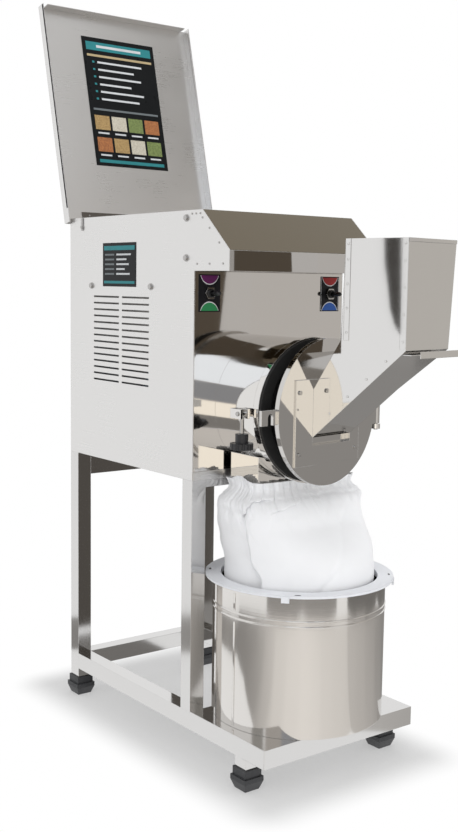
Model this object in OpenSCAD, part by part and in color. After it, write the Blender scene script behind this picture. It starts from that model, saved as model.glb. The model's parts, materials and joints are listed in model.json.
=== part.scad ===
// Domestic flour mill: a sheet-steel cabinet on a square-tube stand, with a hinged top lid,
// a round milling chamber behind a side-hinged door, an elbow hopper on the door,
// and a cloth bag that leads the flour into a pull-out bucket.
// Millimetres. +Z is up, the front faces -Y and the floor is z = 0.
// Sizes along Y are counted from the cabinet's front face, and place() then centres the mill.

/* [Cabinet] */
// Outside width of the cabinet and of the stand
cab_w = 374; // [340:1:440]
// Depth of the cabinet, front face to back face
cab_d = 464; // [420:1:560]
// Height of the cabinet's underside above the floor
cab_z = 552; // [520:1:620]
// Height of the cabinet's side panels
cab_h = 508; // [480:1:600]
// Thickness of the sheet steel
sheet = 1.5; // [1:0.1:2.5]
// Height of the upturned lip along the front of the cabinet floor
floor_lip = 17; // [10:1:30]

/* [Hood] */
// How far the hood stands out in front of the cabinet
hood_out = 107; // [80:1:130]
// Height of the hood, underside to cabinet top
hood_h = 112; // [95:1:150]
// Height of the upright strip along the front of the hood
hood_strip = 37; // [20:1:50]
// Horizontal run of the sloping bezel
bezel_run = 84; // [60:1:100]
// Width of the flat return behind the top of the bezel
bezel_return = 7; // [4:0.5:12]

/* [Lid] */
// Angle of the open lid from its closed position
lid_open = 103.7; // [60:0.1:115]
// Depth of the lid's folded skirts
lid_skirt = 20; // [12:1:30]
// Gap between a side panel and the lid's skirt
lid_side_gap = 6.5; // [5:0.5:10]
// Height of the closed lid above the panels
lid_rise = 2; // [1.8:0.1:4]
// Length of the lid hinge
hinge_l = 300; // [200:10:330]
// Radius of the lid hinge's knuckles
knuckle_r = 3.5; // [3:0.1:5]
// Width of each hinge leaf
leaf_w = 22; // [14:1:30]
// Width of the card on the inside of the lid
lid_card_w = 192; // [100:1:300]
// Length of the card on the inside of the lid
lid_card_l = 300; // [100:1:320]

/* [Vents and trim] */
// Rows of vent slots in each side panel
vent_rows = 14; // [4:1:18]
// Distance between vent rows
vent_pitch = 13.4; // [10:0.1:15]
// Length of one vent slot
vent_l = 100; // [60:1:115]
// Height of one vent slot
vent_h = 3.6; // [2:0.1:6]
// Distance between the two columns of slots
vent_gap = 11.6; // [6:0.1:30]
// Distance from the cabinet's front face to the nearest slot
vent_y = 153; // [60:1:180]
// Distance from the cabinet's top to the highest slot
vent_drop = 167; // [150:1:200]
// Width of the information card on the left panel
side_card_w = 127; // [60:1:140]
// Height of the information card on the left panel
side_card_h = 89; // [60:1:95]
// Thickness of every printed card and switch plate
card_t = 0.6; // [0.3:0.1:1.5]
// Radius of the cabinet's bolt heads
bolt_r = 5; // [3:0.5:7]
// Radius of the small rivet heads
rivet_r = 2; // [1:0.1:3]
// Distance from the cabinet's top to the lower front bolts
bolt_drop = 88; // [60:1:110]
// Distance from the front panel to the middle one of the hood cheek's low rivets
cheek_mid = 47; // [30:1:60]
// Distance from the front panel to the foremost one of the hood cheek's low rivets
cheek_reach = 88; // [70:1:92]

/* [Stand] */
// Side of the square leg tube
leg = 32; // [25:1:38]
// Wall of the leg and rail tubes
tube_wall = 1.6; // [1.2:0.1:3]
// Height of the base rails
rail_h = 35; // [25:1:45]
// Height of the cross rail under the back of the cabinet
back_rail_h = 50; // [30:1:60]
// Height of the cross bar under the front of the cabinet
front_bar_h = 14.5; // [8:0.5:20]
// Height of the stubs between the rails and the feet
stub_h = 20; // [10:1:40]
// Height of a foot
foot_h = 41.5; // [30:0.5:60]
// Width of a foot's widest band
foot_w = 44; // [40:1:46]
// How far the platform stands out in front of the cabinet's front face
plat_out = 230; // [190:1:260]
// How far the front feet stand behind the platform's front edge
foot_back = 53; // [40:1:90]

/* [Milling chamber] */
// Height of the chamber's axis above the cabinet's underside
axis_rise = 138; // [138:1:170]
// Outside radius of the chamber
drum_r = 135; // [120:0.5:136]
// Wall of the chamber
drum_wall = 4; // [3:0.5:6]
// Length of the chamber, front panel to the back of its flange
drum_l = 121; // [112:1:140]
// Radius of the chamber's front flange
flange_r = 139; // [139:0.5:145]
// Thickness of the chamber's front flange
flange_t = 15; // [10:0.5:18]
// Thickness of the rubber door seal
seal_t = 3.7; // [2:0.1:5]
// Radius of the sieve ring inside the chamber
sieve_r = 124; // [115:0.5:125]
// Radius of the beater disc
beater_r = 100; // [80:1:104]
// Radius of the drive shaft
shaft_r = 12; // [9:0.5:14]
// Width of the outlet chute
chute_w = 208; // [150:1:216]
// Length of the outlet chute, front to back
chute_l = 84; // [60:1:90]
// Distance from the front panel to the outlet chute
chute_y = 12; // [8:0.5:20]
// How far the chute hangs below the cabinet's underside
chute_drop = 14; // [10:1:20]

/* [Door] */
// Radius of the door disc
door_r = 138; // [134:0.5:140]
// Thickness of the door disc
door_t = 10; // [8:0.5:14]
// Angle at which the door stands ajar
door_ajar = 7.8; // [6.5:0.1:10]
// Distance from the door's rim to the hinge pin and to the clamp bolt
ear_reach = 12.5; // [12:0.5:16]
// Radius of the door's hinge pin and of the clamp bolt's pin
pin_r = 4; // [3:0.5:5]
// Height of the door's hinge knuckle
door_knuckle_h = 64; // [40:1:80]
// Thickness of the feed plate on the door
plate_t = 3; // [2:0.5:5]
// Length of the door's ear at the clamp bolt
ear_l = 60; // [54:1:66]
// Part of the ear that reaches past the clamp bolt
ear_end = 23; // [18:1:26]

/* [Hopper] */
// Wall of the hopper's sheet steel
hopper_wall = 1.5; // [1:0.1:2.5]
// Distance from the mill axis to the hopper's straight left wall
hopper_left = 48; // [40:1:60]
// Distance from the mill axis to the right wall at the door
hopper_right = 60; // [50:1:66]
// How much further out the right wall stands at the elbow
flare_elbow = 18; // [10:1:24]
// How much further out the right wall stands at the top
flare_top = 33; // [24:1:45]
// Distance from the door to the hopper's rear wall
hopper_rear = 70; // [60:1:90]
// Distance from the door to the hopper's front wall
hopper_front = 206; // [180:1:230]
// Height of the hopper's top above the mill axis
hopper_top = 317; // [260:1:340]
// Height of the elbow above the mill axis
elbow_z = 126; // [115:1:140]
// Height of the feed chute's lower edge at the door, from the mill axis
mouth_low = -43.5; // [-55:0.5:-30]
// Height of the feed chute's upper edge at the door, from the mill axis
mouth_high = 46; // [35:0.5:55]
// Thickness of the feed gate
gate_t = 1.5; // [1:0.1:2.5]
// Height of the feed gate's pull lip
gate_lip = 12; // [8:0.5:20]

/* [Clamp] */
// Radius of the clamp bolt's stud
stud_r = 4; // [3:0.5:5]
// Distance from the clamp bolt's pivot to the knob
knob_from = 37; // [30:1:38]
// Length of the knob
knob_l = 29; // [20:1:29]
// Radius of the knob's fluted head
knob_r = 21.5; // [16:0.5:22]

/* [Switches] */
// Distance from the middle of the cabinet to each switch
switch_x = 152; // [120:1:155]
// Distance from the hood's underside down to each switch
switch_drop = 41; // [40:1:60]
// Width of a switch plate
switch_plate_w = 50; // [40:1:60]
// Height of a switch plate
switch_plate_h = 70; // [50:1:76]
// Radius of a switch bushing
bushing_r = 8; // [6:0.5:10]

/* [Motor] */
// Radius of the motor case
motor_r = 88; // [70:1:100]
// Length of the motor case
motor_l = 200; // [150:1:220]
// Distance from the front panel to the motor
motor_y = 58; // [40:1:80]
// Radius of the cable entry's bore
cable_r = 5; // [3:0.5:7]
// Height of the cable entry over the cabinet's floor
gland_rise = 60; // [40:1:120]
// Depth of the cooling fan's hub
fan_l = 24; // [16:1:28]
// Bare end of the hub beside each fan blade
blade_edge = 2; // [1:0.5:4]
// Length of the motor's capacitor
capacitor_l = 90; // [60:1:110]

/* [Bag and bucket] */
// Thickness of the bag's cloth
cloth = 2; // [1:0.5:4]
// Radius of the bag where it enters the bucket
bag_r = 146; // [135:1:149]
// Radius of the bucket
bucket_r = 167; // [160:1:172]
// Height of the bucket
bucket_h = 267; // [200:1:300]
// Wall of the bucket
bucket_wall = 1.2; // [0.8:0.1:2]
// How far the ring lid stands out past the bucket
ring_over = 15; // [10:1:20]
// Gap between the bag and the hole in the ring lid
ring_gap = 6; // [3:0.5:10]
// Gap between the ring lid and the front legs
leg_gap = 1.6; // [1:0.1:10]
// Thickness of the ring lid
ring_lid_t = 3; // [2:0.5:8]
// How far the ring lid's edge turns down
ring_lip = 1.5; // [1:0.5:6]

/* [Hidden] */
$fn = 64;
// Clearances: turning fits, moving neighbours, and pieces seated round a curve
run_fit = 0.05;
free_gap = 0.3;
seat = 0.05;

half_w = cab_w / 2;
in_w = half_w - sheet;
top_z = cab_z + cab_h;
hood_z = top_z - hood_h;
bezel_z = hood_z + hood_strip;
bezel_rise = top_z - bezel_z;
bezel_y = bezel_run - hood_out;

// Lid hinge axis, and the lid's edges when it is closed
hinge_y = cab_d + sheet + knuckle_r + free_gap;
hinge_z = top_z + lid_rise - sheet - knuckle_r - 0.5;
lid_z = top_z + lid_rise;
lid_front = bezel_y + bezel_return + 2;
lid_back = hinge_y + 6;
lid_half = half_w + lid_side_gap + sheet;
knuckles = 5;

// Stand levels
stub_z = foot_h;
rail_z = stub_z + stub_h;
rail_top = rail_z + rail_h;
plat_z = rail_top + sheet;
leg_x = half_w - leg / 2;
back_leg_y = cab_d - leg / 2;
front_foot_y = foot_back + leg / 2 - plat_out;
foot_places = [for (s = [-1, 1], y = [front_foot_y, back_leg_y]) [s * leg_x, y]];

// Distances forward along the mill axis
axis_z = cab_z + axis_rise;
flange_f = drum_l + flange_t;
seal_f = flange_f + seal_t;
door_f = seal_f + free_gap;
face_f = door_f + door_t;
pin_x = door_r + ear_reach;
pin_f = door_f + door_t / 2;

// The clamp bolt stands far enough out for its knob to pass the flange and bear on the shut door's ear
knob_head = 12;
pivot_f = drum_l - 12;
ear_t = min(door_t, max(3, pivot_f + knob_from - free_gap - door_f));
knob_low = 0.86 * (knob_from + knob_l - knob_head);
clamp_x = -max(pin_x, knob_r + 2 + sqrt(max(0, pow(flange_r, 2) - pow(knob_low, 2))));

// Shaft line
bearing_w = 12;
bearing_r = shaft_r + 8;
motor_back = motor_y + bearing_w;
motor_end = motor_back + motor_l;
core_l = 0.45 * motor_l;
core_back = motor_back + (motor_l - core_l) / 2;
cowl_l = 42;
shaft_back = motor_end + bearing_w + cowl_l - 8;
beater_f = 60;
beater_t = 8;
hub_back = 30;
hub_front = 12;
shaft_front = beater_f + beater_t + hub_front;

// Hopper outlines: the side view as distance from the door and height, the front view as width and height
sleeve = door_t - 2;
rear_z = elbow_z + 12;
gate_z = elbow_z - 8;
gate_front = hopper_front + 10;
window_low = mouth_low - 15;
pocket_wall = 2;
function hopper_side(ext) = [
    [-sleeve - ext, mouth_low], [plate_t, mouth_low],
    [hopper_front, elbow_z], [hopper_front, hopper_top + ext],
    [hopper_rear, hopper_top + ext], [hopper_rear - 6, rear_z],
    [plate_t, mouth_high], [-sleeve - ext, mouth_high]];
function hopper_face(ext) = [
    [-hopper_left, mouth_low - 30], [hopper_right, mouth_low - 30], [hopper_right, mouth_high + 2],
    [hopper_right + flare_elbow, elbow_z], [hopper_right + flare_top, hopper_top + ext],
    [-hopper_left, hopper_top + ext]];

chute_mid = chute_y + chute_l / 2;

// The bucket stands in front of the outlet, far enough out for its ring lid to clear the front legs
ring_r = bucket_r + ring_over;
ring_hole = bag_r + ring_gap;
leg_in = half_w - leg;
bucket_y = max(chute_mid + 20, sqrt(max(0, pow(ring_r + leg_gap, 2) - pow(leg_in, 2))));

// Bag rings from the bottom up: height, half width, half depth, corner radius, distance from the front panel
chute_z = cab_z - chute_drop;
bag_top = min(axis_z - drum_r, cab_z) - 2;
mouth_a = chute_w / 2 + 0.6 + cloth;
mouth_b = chute_l / 2 + 0.6 + cloth;
bag_drop = bag_top - plat_z;
function bag_round(share, r) = [plat_z + share * bag_drop, r, r, r, bucket_y];
bag_rings = [
    bag_round(0.32, 0.3 * bag_r), bag_round(0.34, 0.55 * bag_r), bag_round(0.37, 0.76 * bag_r),
    bag_round(0.41, 0.88 * bag_r), bag_round(0.49, 0.95 * bag_r), bag_round(0.6, 0.985 * bag_r),
    bag_round(0.68, bag_r),
    [plat_z + 0.74 * bag_drop, 1.02 * bag_r, 0.91 * bag_r, 0.86 * bag_r, bucket_y - 12],
    [plat_z + 0.8 * bag_drop, 1.025 * bag_r, 0.735 * bag_r, 0.64 * bag_r, bucket_y - 22],
    [plat_z + 0.87 * bag_drop, 1.02 * bag_r, 0.58 * bag_r, 0.42 * bag_r, chute_mid + 14],
    [plat_z + 0.935 * bag_drop, 0.92 * bag_r, 0.42 * bag_r, 0.25 * bag_r, chute_mid + 6],
    [bag_top - 12, mouth_a + 1, mouth_b + 1, 6, chute_mid],
    [bag_top, mouth_a, mouth_b, cloth + 1, chute_mid]];

// The part's middle front to back, between the gate's lip and the open lid's edge
lip_x = 20 + pin_x;
lip_f = face_f + gate_front + sheet - pin_f;
front_most = -pin_f - lip_f * cos(door_ajar) - lip_x * sin(door_ajar);
back_most = hinge_y + (lid_front - hinge_y) * cos(lid_open) + (lid_z + sheet - hinge_z) * sin(lid_open);
mid_y = (front_most + back_most) / 2;

// Places and shared shapes

module place() {
    translate([0, -mid_y, 0]) children();
}

// X stays across, Y becomes up from the mill axis and Z becomes forward from the front panel
module on_axis() {
    place() translate([0, 0, axis_z]) rotate([90, 0, 0]) children();
}

module on_door() {
    place() translate([pin_x, -pin_f, axis_z]) rotate([0, 0, door_ajar])
        translate([-pin_x, pin_f, 0]) rotate([90, 0, 0]) children();
}

module on_lid() {
    place() translate([0, hinge_y, hinge_z]) rotate([-lid_open, 0, 0])
        translate([0, -hinge_y, -hinge_z]) children();
}

// A flat outline of depth and height, drawn along X
module along_x(w) {
    rotate([90, 0, 90]) linear_extrude(w, center = true) children();
}

// A box between two corners
module box(low, high) {
    translate(low) cube(high - low);
}

module tube_up(x, y, z0, z1) {
    difference() {
        box([x - leg / 2, y - leg / 2, z0], [x + leg / 2, y + leg / 2, z1]);
        box([x - leg / 2 + tube_wall, y - leg / 2 + tube_wall, z0 - 1],
            [x + leg / 2 - tube_wall, y + leg / 2 - tube_wall, z1 + 1]);
    }
}

module ring(r_out, r_in, h) {
    difference() {
        cylinder(r = r_out, h = h);
        translate([0, 0, -1]) cylinder(r = r_in, h = h + 2);
    }
}

// A small round head that stands out along X from a side plate
module side_head(x, y, z, r, h, side) {
    translate([x, y, z]) rotate([0, side * 90, 0]) cylinder(r = r, h = h);
}

function unit(v) = v / norm(v);
function inset(p, t) = let (n = len(p)) [for (i = [0:n - 1])
    let (u = unit(p[i] - p[(i + n - 1) % n]), v = unit(p[(i + 1) % n] - p[i]),
         nu = [-u[1], u[0]], nv = [-v[1], v[0]])
    p[i] + t * (nu + nv) / (1 + nu * nv)];

// Stand

module leg_front(s) {
    color("gainsboro") place() tube_up(s * leg_x, leg / 2, rail_top, cab_z);
}

module leg_back(s) {
    color("gainsboro") place() tube_up(s * leg_x, back_leg_y, stub_z, cab_z);
}

module rail_side(s) {
    y0 = sheet - plat_out;
    y1 = cab_d - leg;
    color("gainsboro") place() difference() {
        box([s * leg_x - leg / 2, y0, rail_z], [s * leg_x + leg / 2, y1, rail_top]);
        box([s * leg_x - leg / 2 + tube_wall, y0 - 1, rail_z + tube_wall],
            [s * leg_x + leg / 2 - tube_wall, y1 + 1, rail_top - tube_wall]);
    }
}

// A square tube between the left and right legs, with its front face at y0
module cross_tube(y0, z0, z1) {
    x1 = half_w - leg;
    difference() {
        box([-x1, y0, z0], [x1, y0 + leg, z1]);
        box([-x1 - 1, y0 + tube_wall, z0 + tube_wall], [x1 + 1, y0 + leg - tube_wall, z1 - tube_wall]);
    }
}

module cross_rails() {
    color("dimgray") place() {
        cross_tube(cab_d - leg, rail_z, rail_top);
        cross_tube(cab_d - leg, cab_z - back_rail_h, cab_z);
        cross_tube(0, cab_z - front_bar_h, cab_z);
    }
}

module front_stubs() {
    color("gainsboro") place() for (s = [-1, 1])
        tube_up(s * leg_x, front_foot_y, stub_z, rail_z);
}

module platform() {
    color("silver") place() {
        box([-half_w, -plat_out, rail_top], [half_w, 0, plat_z]);
        box([-half_w, -plat_out, rail_z], [half_w, sheet - plat_out, rail_top]);
    }
}

// A tapered sole, a wide band and a square sleeve, with the tube's end standing on it
module foot() {
    band = foot_w / 2;
    sole = band - 6;
    outline = [[-sole, 0], [sole, 0], [band, 0.4 * foot_h], [band, 0.62 * foot_h],
        [leg / 2 + 3, 0.62 * foot_h], [leg / 2 + 3, foot_h],
        [-leg / 2 - 3, foot_h], [-leg / 2 - 3, 0.62 * foot_h], [-band, 0.62 * foot_h], [-band, 0.4 * foot_h]];
    intersection() {
        rotate([90, 0, 0]) linear_extrude(foot_w + 2, center = true) polygon(outline);
        along_x(foot_w + 2) polygon(outline);
    }
}

module feet() {
    color([0.13, 0.13, 0.14]) place() for (p = foot_places) translate([p[0], p[1], 0]) foot();
}

// Cabinet

module side_outline() {
    polygon([[0, cab_z], [cab_d, cab_z], [cab_d, top_z], [bezel_y, top_z],
        [-hood_out, bezel_z], [-hood_out, hood_z], [0, hood_z]]);
}

module vent_slots() {
    for (col = [0, 1], row = [0:vent_rows - 1])
        translate([vent_y + col * (vent_l + vent_gap), top_z - vent_drop - row * vent_pitch])
            square([vent_l, vent_h]);
}

module side_panel(s) {
    color("gainsboro") place() translate([s * (half_w - sheet / 2), 0, 0]) along_x(sheet) difference() {
        side_outline();
        vent_slots();
    }
}

gland_x = 0.6 * half_w;
gland_z = cab_z + gland_rise;

module back_panel() {
    color("silver") place() difference() {
        box([-in_w, cab_d - sheet, cab_z + sheet], [in_w, cab_d, top_z]);
        translate([gland_x, cab_d + 1, gland_z]) rotate([90, 0, 0])
            cylinder(r = cable_r + 4, h = sheet + 2);
    }
}

module floor_panel() {
    color("silver") place() difference() {
        union() {
            box([-in_w, 0, cab_z], [in_w, cab_d, cab_z + sheet]);
            box([-in_w, -sheet, cab_z], [in_w, 0, cab_z + floor_lip]);
        }
        translate([0, 1, axis_z]) rotate([90, 0, 0]) cylinder(r = drum_r + seat, h = sheet + 5);
    }
}

module front_panel() {
    color("silver") place() difference() {
        box([-in_w, 0, cab_z + sheet], [in_w, sheet, hood_z]);
        for (s = [-1, 1]) translate([s * switch_x, sheet + 1, hood_z - switch_drop]) rotate([90, 0, 0])
            cylinder(r = bushing_r + seat, h = sheet + 2);
        translate([0, sheet + 1, axis_z]) rotate([90, 0, 0]) cylinder(r = shaft_r + 6, h = sheet + 2);
    }
}

module hood_shell() {
    color("lightgray") place() along_x(2 * in_w)
        polygon([[-hood_out, hood_z], [sheet, hood_z], [sheet, hood_z + sheet],
            [sheet - hood_out, hood_z + sheet], [sheet - hood_out, bezel_z], [-hood_out, bezel_z]]);
}

module hood_bezel() {
    slope_l = norm([bezel_run, bezel_rise]);
    skin = sheet * slope_l / bezel_rise;
    rear = bezel_y + bezel_return;
    color([0.42, 0.38, 0.32]) place() along_x(2 * in_w)
        polygon([[-hood_out, bezel_z], [skin - hood_out, bezel_z],
            [skin - hood_out + (bezel_rise - sheet) * bezel_run / bezel_rise, top_z - sheet],
            [rear, top_z - sheet], [rear, top_z], [bezel_y, top_z]]);
}

// Bolt heads with washers on both panels, rivets round the hood's cheeks and the clip beside the lid hinge
vent_end = vent_y + 2 * vent_l + vent_gap;
bolt_places = [[27, top_z - 14], [27, top_z - bolt_drop],
    [vent_end + 9, top_z - vent_drop + 24], [vent_y - 6, top_z - vent_drop + 24]];
cheek_low = [for (y = [8, cheek_mid, cheek_reach]) [-y, hood_z + 13]];
cheek_slope = [for (k = [0.08, 0.34, 0.7]) [bezel_y - k * bezel_run + 6, top_z - k * bezel_rise - 9]];
cheek_top = [for (y = [-17, -4, 9]) [y, top_z - 7]];

module panel_fasteners() {
    color("silver") place() for (s = [-1, 1]) {
        for (p = bolt_places) {
            side_head(s * half_w, p[0], p[1], bolt_r + 2, 1, s);
            side_head(s * (half_w + 1), p[0], p[1], bolt_r, 3, s);
        }
        for (p = concat(cheek_low, cheek_slope, cheek_top))
            side_head(s * half_w, p[0], p[1], rivet_r, 0.8, s);
        translate([s * (half_w + 1), cab_d - 52, top_z - 14]) cube([2, 7, 26], center = true);
        side_head(s * (half_w + 2), cab_d - 52, top_z - 20, 3, 2, s);
    }
}

module side_card_left() {
    y0 = vent_y + 47;
    z1 = top_z - 55;
    color([0.16, 0.18, 0.2]) place()
        box([-half_w - card_t, y0, z1 - side_card_h], [-half_w, y0 + side_card_w, z1]);
}

// A round gland through the back panel, with a flange outside and a lock ring inside
module cable_gland() {
    color([0.15, 0.15, 0.16]) place() translate([gland_x, cab_d, gland_z]) rotate([90, 0, 0]) difference() {
        union() {
            translate([0, 0, -12]) cylinder(r = cable_r + 8, h = 12);
            cylinder(r = cable_r + 4 - seat, h = sheet);
            translate([0, 0, sheet]) cylinder(r = cable_r + 7, h = 7);
        }
        translate([0, 0, -13]) cylinder(r = cable_r, h = sheet + 22);
    }
}

// Lid, drawn closed and turned open

module lid() {
    color("silver") on_lid() {
        box([-lid_half, lid_front, lid_z], [lid_half, lid_back, lid_z + sheet]);
        for (s = [-1, 1])
            box([s * (lid_half - sheet / 2) - sheet / 2, lid_front, lid_z - lid_skirt],
                [s * (lid_half - sheet / 2) + sheet / 2, lid_back, lid_z]);
        box([2 - in_w, lid_front, lid_z - lid_skirt], [in_w - 2, lid_front + sheet, lid_z]);
    }
}

module lid_info_card() {
    y1 = lid_front + 51;
    color([0.1, 0.12, 0.12]) on_lid()
        box([-lid_card_w / 2, y1, lid_z - card_t], [lid_card_w / 2, y1 + lid_card_l, lid_z]);
}

// One hinge leaf's knuckles, each on a web that leads to its leaf
module knuckle_row(first, reach) {
    step = hinge_l / knuckles;
    for (k = [first:2:knuckles - 1]) {
        x0 = k * step - hinge_l / 2 + (k > 0 ? free_gap / 2 : 0);
        w = step - free_gap;
        difference() {
            union() {
                translate([x0, 0, 0]) rotate([0, 90, 0]) cylinder(r = knuckle_r, h = w);
                translate([x0, 0, 0]) cube([w, knuckle_r, reach]);
            }
            translate([x0 - 1, 0, 0]) rotate([0, 90, 0]) cylinder(r = knuckle_r / 2 + run_fit, h = w + 2);
        }
    }
}

module hinge_leaf_lid() {
    color([0.3, 0.28, 0.26]) on_lid() {
        box([-hinge_l / 2, hinge_y - leaf_w, lid_z - sheet], [hinge_l / 2, hinge_y, lid_z]);
        translate([0, hinge_y, hinge_z]) mirror([0, 1, 0])
            knuckle_row(1, lid_z - sheet - hinge_z);
    }
}

module hinge_leaf_back() {
    color([0.3, 0.28, 0.26]) place() {
        box([-hinge_l / 2, cab_d, hinge_z - leaf_w], [hinge_l / 2, cab_d + sheet, hinge_z]);
        translate([0, hinge_y, hinge_z]) rotate([90, 0, 0]) mirror([0, 1, 0])
            knuckle_row(0, hinge_y - cab_d - sheet);
    }
}

module hinge_pin() {
    color("silver") place() translate([-hinge_l / 2, hinge_y, hinge_z]) rotate([0, 90, 0])
        cylinder(r = knuckle_r / 2, h = hinge_l);
}

// Switches

module at_switch(s) {
    place() translate([s * switch_x, 0, hood_z - switch_drop]) rotate([90, 0, 0]) children();
}

module switch_plates() {
    color([0.1, 0.1, 0.12]) for (s = [-1, 1]) at_switch(s) difference() {
        translate([-switch_plate_w / 2, -switch_plate_h / 2, 0])
            cube([switch_plate_w, switch_plate_h, card_t]);
        translate([0, 0, -1]) cylinder(r = bushing_r + seat, h = card_t + 2);
    }
}

bushing_out = 10;
switch_case_w = 28;
switch_case_h = 36;
switch_case_d = 30;
ball_f = 3;

module switch_bodies() {
    color([0.2, 0.2, 0.2]) for (s = [-1, 1]) at_switch(s) difference() {
        union() {
            translate([-switch_case_w / 2, -switch_case_h / 2, -sheet - switch_case_d])
                cube([switch_case_w, switch_case_h, switch_case_d]);
            translate([0, 0, -sheet]) cylinder(r = bushing_r, h = sheet + bushing_out);
        }
        translate([0, 0, -sheet - 6]) cylinder(r = bushing_r - 2.4, h = sheet + bushing_out + 7);
    }
}

module switch_nuts() {
    color("silver") for (s = [-1, 1]) at_switch(s) translate([0, 0, card_t]) difference() {
        cylinder(r = bushing_r + 4.5, h = 5, $fn = 6);
        translate([0, 0, -1]) cylinder(r = bushing_r + seat, h = 7);
    }
}

module switch_lever(s) {
    color([0.08, 0.08, 0.09]) at_switch(s) {
        translate([0, 0, ball_f]) sphere(r = bushing_r - 2.4 - free_gap);
        translate([0, 0, ball_f]) cylinder(r1 = 2.4, r2 = 4.4, h = 27);
        translate([0, 0, ball_f + 27]) sphere(r = 4.4);
    }
}

// Motor, bearings and shaft

module from_panel(y) {
    place() translate([0, y, axis_z]) rotate([-90, 0, 0]) children();
}

module motor_case() {
    color([0.35, 0.4, 0.45]) from_panel(motor_back) ring(motor_r, motor_r - 6, motor_l);
}

module motor_ends() {
    color([0.45, 0.47, 0.5]) for (y = [motor_y, motor_end])
        from_panel(y) ring(motor_r, bearing_r + seat, bearing_w);
}

module motor_cradle() {
    color([0.3, 0.3, 0.32]) place() difference() {
        box([-0.8 * motor_r, motor_back + 20, cab_z + sheet],
            [0.8 * motor_r, motor_end - 20, axis_z - 0.45 * motor_r]);
        translate([0, motor_back, axis_z]) rotate([-90, 0, 0]) cylinder(r = motor_r + seat, h = motor_l);
        box([-0.55 * motor_r, motor_back, cab_z], [0.55 * motor_r, motor_end, axis_z - motor_r - 6]);
    }
}

module stator() {
    color([0.5, 0.35, 0.2]) from_panel(core_back)
        ring(motor_r - 6 - seat, 0.7 * motor_r, core_l);
}

module armature() {
    color([0.55, 0.55, 0.57]) from_panel(core_back)
        ring(0.7 * motor_r - 1, shaft_r + seat, core_l);
}

module drive_shaft() {
    color("silver") from_panel(-shaft_front) cylinder(r = shaft_r, h = shaft_front + shaft_back);
}

module cooling_fan() {
    blades = 7;
    color([0.2, 0.2, 0.22]) from_panel(motor_end + bearing_w + 4) difference() {
        union() {
            cylinder(r = 0.3 * motor_r, h = fan_l);
            for (k = [0:blades - 1]) rotate(k * 360 / blades)
                translate([0.2 * motor_r, -1.5, blade_edge])
                    cube([0.65 * motor_r, 3, fan_l - 2 * blade_edge]);
        }
        translate([0, 0, -1]) cylinder(r = shaft_r + seat, h = fan_l + 2);
    }
}

module fan_cowl() {
    color([0.3, 0.33, 0.36]) from_panel(motor_end + bearing_w) difference() {
        cylinder(r = motor_r, h = cowl_l);
        translate([0, 0, -1]) cylinder(r = motor_r - 2, h = cowl_l - 1);
        for (k = [0:7]) rotate(k * 45 + 22.5) translate([0.45 * motor_r, -5, cowl_l - 12])
            cube([0.4 * motor_r, 10, 20]);
    }
}

module bearings() {
    color("silver") for (y = [motor_y, motor_end])
        from_panel(y) ring(bearing_r, shaft_r + run_fit, bearing_w);
}

module shaft_seal() {
    color([0.1, 0.1, 0.1]) on_axis() ring(shaft_r + 6 - seat, shaft_r + run_fit, 6);
}

module capacitor() {
    r = 20;
    color([0.75, 0.76, 0.78]) place()
        translate([in_w - 45, motor_back + 40, cab_z + sheet + r + seat]) rotate([-90, 0, 0])
            cylinder(r = r, h = capacitor_l);
}

// Milling chamber

// The drum's rear plate, wall and flange in one turned outline, open below into the chute
module mill_housing() {
    bore = shaft_r + 6;
    inner = drum_r - drum_wall;
    color("silver") on_axis() difference() {
        rotate_extrude($fn = 128) polygon([[bore, 0], [drum_r, 0], [drum_r, drum_l], [flange_r, drum_l],
            [flange_r, flange_f], [inner, flange_f], [inner, 6], [bore, 6]]);
        translate([4 - chute_w / 2, -drum_r - 5, chute_y + 4])
            cube([chute_w - 8, drum_r * 0.45, chute_l - 8]);
    }
}

module outlet_chute() {
    color("silver") place() difference() {
        box([-chute_w / 2, -chute_y - chute_l, chute_z], [chute_w / 2, -chute_y, axis_z]);
        box([sheet - chute_w / 2, sheet - chute_y - chute_l, chute_z - 1],
            [chute_w / 2 - sheet, -chute_y - sheet, axis_z + 1]);
        translate([0, 1, axis_z]) rotate([90, 0, 0]) cylinder(r = drum_r + seat, h = drum_l + 10, $fn = 128);
    }
}

module door_seal() {
    color([0.06, 0.06, 0.06]) on_axis() translate([0, 0, flange_f])
        ring(flange_r - 3, drum_r - 22, seal_t);
}

// The sieve's windows are worked out from the ring so that its two hoops stay whole
module sieve_ring() {
    windows = 24;
    color([0.6, 0.6, 0.62]) on_axis() translate([0, 0, 6]) difference() {
        ring(sieve_r, sieve_r - 2, drum_l - 10);
        for (k = [0:windows - 1]) rotate(k * 360 / windows)
            translate([sieve_r - 6, -9, 14]) cube([10, 18, drum_l - 38]);
    }
}

tooth_r = 38;
tooth_t = 12;
tooth_l = 58;

module beater_rotor() {
    beaters = 6;
    color([0.4, 0.4, 0.42]) on_axis() difference() {
        union() {
            translate([0, 0, beater_f]) cylinder(r = beater_r, h = beater_t);
            translate([0, 0, beater_f - hub_back])
                cylinder(r = shaft_r + 12, h = beater_t + hub_back + hub_front);
            for (k = [0:beaters - 1]) rotate(k * 360 / beaters)
                translate([beater_r + tooth_t - tooth_r, -tooth_t / 2, beater_f - hub_back + 5])
                    cube([tooth_r, tooth_t, tooth_l]);
        }
        translate([0, 0, beater_f - hub_back - 1])
            cylinder(r = shaft_r + seat, h = beater_t + hub_back + hub_front + 2);
    }
}

// Door hinge and clamp on the chamber's flange

lug_t = 10;
knuckle_out = pin_r + 3.5;

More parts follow.
